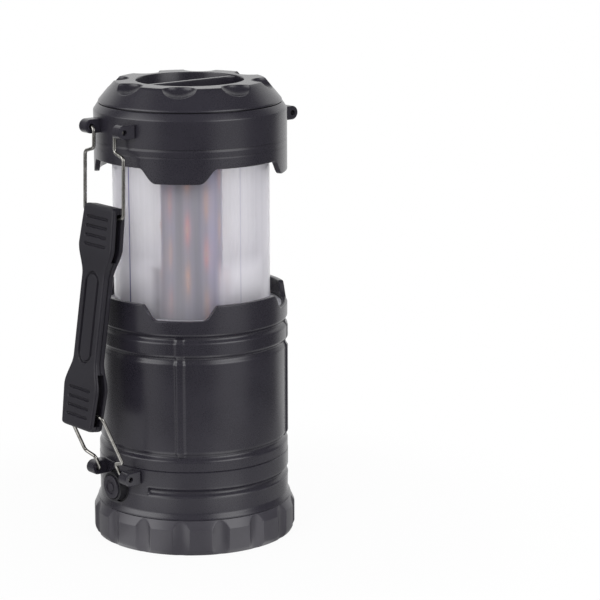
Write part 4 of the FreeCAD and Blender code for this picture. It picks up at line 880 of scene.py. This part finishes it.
def gripSection(form, place, front):  # one cut across the half: (across, rise from the parting line)
    length = form["length"]
    fromEnd = min(place, length - place)
    waist = smooth((fromEnd - form["bulgeAt"]) / (form["waistAt"] - form["bulgeAt"]))
    half = form["endHalf"] + (form["bulgeHalf"] - form["endHalf"]) * min(fromEnd / form["bulgeAt"], 1.0)
    half += (form["waistHalf"] - half) * waist
    thick = form["thick"] + (form["waistThick"] - form["thick"]) * waist
    short = max(0.0, form["corner"] - fromEnd)
    cornerCut = form["corner"] - math.sqrt(max(form["corner"] ** 2 - short ** 2, 0.0))
    half -= cornerCut
    edge, small = form["edge"], form["innerEdge"]
    thick -= min(cornerCut, edge)
    inner = form["gap"]
    for low, high, slotHalf in form["slots"]:
        if low <= place <= high:
            inner = slotHalf
    inner = min(inner, thick - edge - form["slotSkin"])
    face = np.linspace(-(half - edge), half - edge, form["across"])
    rise = np.full(face.shape, thick)
    if front:
        rise = rise - gripGrooves(form, place, face)
    turns = np.linspace(0, math.pi / 2, form["edgeRows"])[:-1]
    corner = [(half - edge + edge * math.cos(turn), thick - edge + edge * math.sin(turn)) for turn in turns]
    left = [(-half + small, inner), (-half, inner + small)] + [(-across, height) for across, height in corner]
    right = corner[::-1] + [(half, inner + small), (half - small, inner)]
    return left + list(zip(face.tolist(), rise.tolist())) + right


def gripGrooves(form, place, face):  # depth of the sunk outline and the cross grooves
    length = form["length"]
    straight = form["panelLength"] / 2 - form["panelHalf"]
    reach = np.hypot(face, max(abs(place - length / 2) - straight, 0.0)) - form["panelHalf"]
    line = form["lineHalf"]
    depth = 1 - smooth((np.abs(reach) - line * form["lineFlat"]) / (line * form["lineSlope"]))
    fromEnd = min(place, length - place)
    nearest = round((fromEnd - form["ridgeFirst"]) / form["ridgePitch"])
    nearest = min(max(nearest, 0), form["ridges"] - 1)
    off = abs(fromEnd - form["ridgeFirst"] - nearest * form["ridgePitch"])
    ridge = form["ridgeHalf"]
    past = np.maximum(np.abs(face) - (form["ridgeReach"] - ridge), 0.0)
    groove = smooth((ridge * form["ridgeSpread"] - np.hypot(off, past)) / (ridge * form["ridgeSlope"]))
    return np.maximum(form["lineDeep"] * depth, form["ridgeDeep"] * groove)


gripHalf("gripFront", gripForm, True, "grip_front")
gripHalf("gripBack", gripForm, False, "grip_back")


# button and bezel: turned pieces that face the handle

buttonForm = dict(radius=4.95, face=44.2, back=39.2, height=25.6, disc=1.9, discSink=0.05, ring=2.8,
                  ringDeep=0.7, ringSide=0.3, rim=0.7, columns=96, sharp=50.0)
bezelForm = dict(outer=6.95, neck=6.1, inner=5.12, front=43.4, collar=39.4, back=38.0, round=0.5,
                 height=buttonForm["height"], columns=120, sharp=40.0)


def pushButton(form):
    face, radius, ring, disc = form["face"], form["radius"], form["ring"], form["disc"]
    sunk = face - form["ringDeep"]
    points = [(0, form["back"]), (radius, form["back"]), (radius, face), (ring + form["ringSide"], face),
              (ring, sunk), (disc, sunk), (disc - form["ringSide"], face - form["discSink"]), (0, face)]
    profile = roundCorners(points, [0, 0.3, form["rim"], 0.2, 0.12, 0.12, 0.2, 0])
    turnedPiece("pushButton", form, profile, "push_button", "button_rubber", "button")


def buttonBezel(form):
    points = [(form["inner"], form["back"]), (form["outer"], form["back"]), (form["outer"], form["collar"]),
              (form["neck"], form["collar"]), (form["neck"], form["front"]), (form["inner"], form["front"])]
    profile = roundCorners(points, [0, 0, 0.2, 0.2, form["round"], 0.25])
    profile.append(profile[0])
    turnedPiece("buttonBezel", form, profile, "lamp_body", "bezel_plastic", "button_bezel")


pushButton(buttonForm)
buttonBezel(bezelForm)


# light: clear tube, sleeve with its lights, and the ring that guides the tube

tubeForm = dict(wall=1.5, edge=0.4, columns=720, streak=0.035, waves=((9.0, 0.0), (17.0, 1.3), (29.0, 0.4)),
                sharp=50.0)
sleeveForm = dict(wall=0.4, edge=0.15, columns=180, sharp=50.0)
lightForm = dict(columns=10, rows=3, turn=math.radians(-26.7), wide=1.6, tall=2.8, proud=0.6, crease=0.75,
                 sharp=40.0)
guideForm = dict(bore=33.25, edge=0.6, topEdge=0.3, columns=240, sharp=40.0)


def ringProfile(node, bore, reaches, steps=6):  # the cut of a plain ring that fills a node's box
    low, high = nodeBox(node)
    corners = [(high.x, low.z), (high.x, high.z), (bore, high.z), (bore, low.z)]
    profile = roundCorners(corners, reaches, steps)
    return profile + [profile[0]]


def streakRule(nodes, radius, angle):  # long shallow waves down the inside of the tube, from how it is drawn
    wave = sum((angle * count + shift).math("SINE") for count, shift in tubeForm["waves"])
    inside = 1 - radius.step(nodes.get("Bore"), nodes.get("Middle"))
    return radius + wave * inside * nodes.get("Streak Depth")


def lightTube(form):
    outer = nodeBox("light_tube")[1].x
    inner = outer - form["wall"]
    sizes = {"Bore": inner * mm, "Middle": (inner + outer) / 2 * mm, "Streak Depth": form["streak"] * mm}
    profile = ringProfile("light_tube", inner, [form["edge"]] * 4, 4)
    turnedPiece("lightTube", form, profile, "lamp_cap", "clear_plastic", "light_tube", sizes, streakRule)


def lightRows(lights):  # the lowest row's height and the pitch of a column, from the box of the lights
    low, high = nodeBox("leds")
    lowest = low.z + lights["tall"] / 2
    return lowest, (high.z - lights["tall"] / 2 - lowest) / (lights["rows"] - 0.5)


def lightSleeve(form, lights):
    outer = nodeBox("led_sleeve")[1].x
    lowest, pitch = lightRows(lights)
    placed = dict(lights, radius=outer, lowest=lowest, pitch=pitch)
    slotFinish["flex_circuit"] = columnSleeve("columnSleeve", sleeveLook, placed)
    profile = ringProfile("led_sleeve", outer - form["wall"], [form["edge"]] * 4, 3)
    turnedPiece("lightSleeve", form, profile, "lamp_cap", "flex_circuit", "led_sleeve")


def lightChips(form):
    lowest, pitch = lightRows(form)
    piece = meshObject("lightChips", [(0, 0, 0)], [])
    sizes = {"Columns": form["columns"], "Rows": form["rows"], "Radius": nodeBox("led_sleeve")[1].x * mm,
             "Turn": form["turn"], "Lowest": lowest * mm, "Pitch": pitch * mm,
             "Chip": (2 * form["proud"] * mm, form["wide"] * mm, form["tall"] * mm)}
    nodes = NodeModifier("lightChipsRows", "led_amber", sizes)
    graph = nodes.graph
    columns = nodes.get("Columns")
    spots, share, row = gridSpots(graph, columns, nodes.get("Rows"))
    column = (share * (columns - 1)).math("ROUND")
    angle = nodes.get("Turn") + column * (2 * math.pi) / columns
    height = nodes.get("Lowest") + nodes.get("Pitch") * (row + 0.5 * column.math("MODULO", 2.0))
    place = graph.polar(nodes.get("Radius"), angle, height)
    moved = graph.node("GeometryNodeSetPosition", {}, {"Geometry": spots, "Position": place})
    points = graph.node("GeometryNodeMeshToPoints", {}, {"Mesh": moved})
    chip = graph.node("GeometryNodeMeshCube", {}, {"Size": nodes.get("Chip")})
    rounded = graph.node("GeometryNodeSubdivisionSurface", {}, {"Mesh": chip, "Level": 1,
                                                                "Edge Crease": form["crease"]})
    turn = graph.node("ShaderNodeCombineXYZ", {}, {"Z": angle})
    placed = {"Points": points, "Instance": rounded, "Rotation": turn}
    nodes.bake(piece, graph.node("GeometryNodeInstanceOnPoints", {}, placed))
    tidyMesh(piece, form["sharp"])
    finishPiece(piece, "lamp_cap", "led_amber", "leds")


def guideRing(form):
    profile = ringProfile("guide_ring", form["bore"], [0, form["topEdge"], form["edge"], 0])
    turnedPiece("guideRing", form, profile, "lamp_body", "guide_plastic", "guide_ring")


lightTube(tubeForm)
lightSleeve(sleeveForm, lightForm)
lightChips(lightForm)
guideRing(guideForm)


# inner pieces keep their solids and get a finish by slot

innerSlots = ("inner_plastic", "reflector_plastic", "column_plastic", "circuit_board", "seal_rubber",
              "cell_can", "contact_metal", "screw_steel")
for solid in [thing for thing in bpy.data.objects if thing.name in frame["nodes"]]:
    for place in solid.material_slots:
        if place.material.name in innerSlots:
            place.material = slotFinish[place.material.name]
print("inner pieces finished")


# stage, light and camera; the fades on the floor and the places of lamps and camera are in metres

stageForm = dict(radius=220.0, turns=96, drop=0.05, white=0.82, glow=0.93, fadeStart=0.1, fadeEnd=0.19,
                 strips=((-36.0, 26.0), (34.0, 24.0)), dim=0.5, bright=1.6, stripStart=0.08, stripEnd=0.18)
worldForm = dict(fill=0.78, back=1.05, front=0.1, backStart=-0.76, backEnd=-0.5,
                 strips=((-64.0, 38.0), (50.0, 28.0)), stripCore=0.3, stripLow=0.6, stripHigh=3.4,
                 stripFoot=-0.1, stripTop=0.5, zenithStart=0.55, zenithEnd=0.88)
lampForm = dict(left=((-1.09, -0.58, 0.95), 1.0, 7.0), right=((-0.1, -1.23, 0.95), 1.0, 6.0))
lampAim = Vector((0, 0, 0.1))
cameraForm = dict(place=(-0.6025, -0.7995, 0.3252), ahead=(0.62178, 0.75136, -0.2202), roll=0.1, lens=145.3,
                  sensor=36.0)


def headings(graph, place):  # cosines between a flat direction and headings counted from the camera's
    level = graph.vector("NORMALIZE", graph.vector("MULTIPLY", place, (1.0, 1.0, 0.0)))
    towards = Vector((-cameraForm["ahead"][0], -cameraForm["ahead"][1], 0.0)).normalized()

    def facing(turn):
        heading = Quaternion((0, 0, 1), math.radians(turn)) @ towards
        return graph.vector("DOT_PRODUCT", level, heading, out="Value")

    return facing


def strip(facing, turn, half):  # 1 along a heading, 0 past the half width to either side
    edge, core = math.radians(half), math.radians(half * worldForm["stripCore"])
    return facing(turn).step(math.cos(edge), math.cos(core))


def behind(facing):  # 1 beyond the object, as the camera sees it
    return 1 - facing(0.0).step(worldForm["backStart"], worldForm["backEnd"])


def studioFloor(form):
    rim = turnedRow(form["radius"], -form["drop"], fullTurn(form["turns"]))
    floor = meshObject("studioFloor", rim, [list(range(form["turns"]))])
    material, graph, place = startFinish("studioFloor")
    rays = graph.node("ShaderNodeLightPath", out="Is Camera Ray")
    glossy = rays.output("Is Glossy Ray")
    seen = rays.math("MAXIMUM", glossy).math("MAXIMUM", rays.output("Is Transmission Ray"))
    reach = graph.vector("LENGTH", place, out="Value")
    fade = reach.step(form["fadeStart"], form["fadeEnd"])
    lit = form["glow"] + (1 - form["glow"]) * fade  # white at its rim
    facing = headings(graph, place)
    patch = sum(strip(facing, turn, half) for turn, half in form["strips"])  # lit patches for gloss
    far = (worldForm["stripLow"] - form["bright"]) * reach.step(form["stripStart"], form["stripEnd"])
    sheen = form["dim"] + patch * (form["bright"] - form["dim"] + far)
    sheen = sheen + behind(facing) * (1 - form["dim"])
    matte = graph.node("ShaderNodeBsdfDiffuse", {}, {"Color": (form["white"],) * 3 + (1.0,)})
    glow = graph.node("ShaderNodeEmission", {}, {"Strength": 1 + glossy * (sheen - 1)})
    mixed = graph.node("ShaderNodeMixShader", {}, {0: seen * lit, 1: matte, 2: glow})
    graph.node("ShaderNodeOutputMaterial", {}, {"Surface": mixed})
    floor.data.materials.append(material)


def studioWorld(form):  # white all round, with a dim front and two upright strips for what is glossy
    world = bpy.data.worlds.new("studioWorld")
    world.use_nodes = True
    world.node_tree.nodes.clear()
    graph = Graph(world.node_tree)
    rays = graph.node("ShaderNodeLightPath", out="Is Camera Ray")
    seen = rays.math("MAXIMUM", rays.output("Is Transmission Ray"))
    glossy = rays.output("Is Glossy Ray")
    direction = graph.node("ShaderNodeTexCoord", out="Generated")
    facing = headings(graph, direction)
    rise = graph.split(direction, "Z")
    climb = rise.step(form["stripFoot"], form["stripTop"])
    bright = form["stripLow"] + (form["stripHigh"] - form["stripLow"]) * climb
    sheen = behind(facing) * (form["back"] - form["front"])
    for turn, half in form["strips"]:
        sheen = sheen + bright * strip(facing, turn, half)
    sheen = form["front"] + sheen * (1 - rise.step(form["zenithStart"], form["zenithEnd"]))  # dim overhead
    strength = seen + (1 - seen) * (glossy * sheen + (1 - glossy) * form["fill"])
    sky = graph.node("ShaderNodeBackground", {}, {"Color": (1.0, 1.0, 1.0, 1.0), "Strength": strength})
    graph.node("ShaderNodeOutputWorld", {}, {"Surface": sky})
    bpy.context.scene.world = world


def softLamp(name, place, size, power):
    lamp = bpy.data.lights.new(name, "AREA")
    lamp.shape = "SQUARE"
    lamp.size = size
    lamp.energy = power
    holder = linked(name, lamp)
    holder.location = place
    holder.rotation_euler = (lampAim - Vector(place)).to_track_quat("-Z", "Y").to_euler()
    holder.visible_glossy = False  # the strips of the world stand for it in what is glossy


def photoCamera(form):
    camera = bpy.data.cameras.new("photoCamera")
    camera.lens = form["lens"]
    camera.sensor_width = form["sensor"]
    holder = linked("photoCamera", camera)
    holder.location = form["place"]
    ahead = Vector(form["ahead"])
    roll = Quaternion(ahead, math.radians(form["roll"]))
    holder.rotation_euler = (roll @ ahead.to_track_quat("-Z", "Y")).to_euler()
    bpy.context.scene.camera = holder


studioFloor(stageForm)
studioWorld(worldForm)
for side, (place, size, power) in lampForm.items():
    softLamp(side + "Lamp", place, size, power)
photoCamera(cameraForm)
bpy.context.scene.view_settings.view_transform = "Standard"
print("stage, light and camera set")
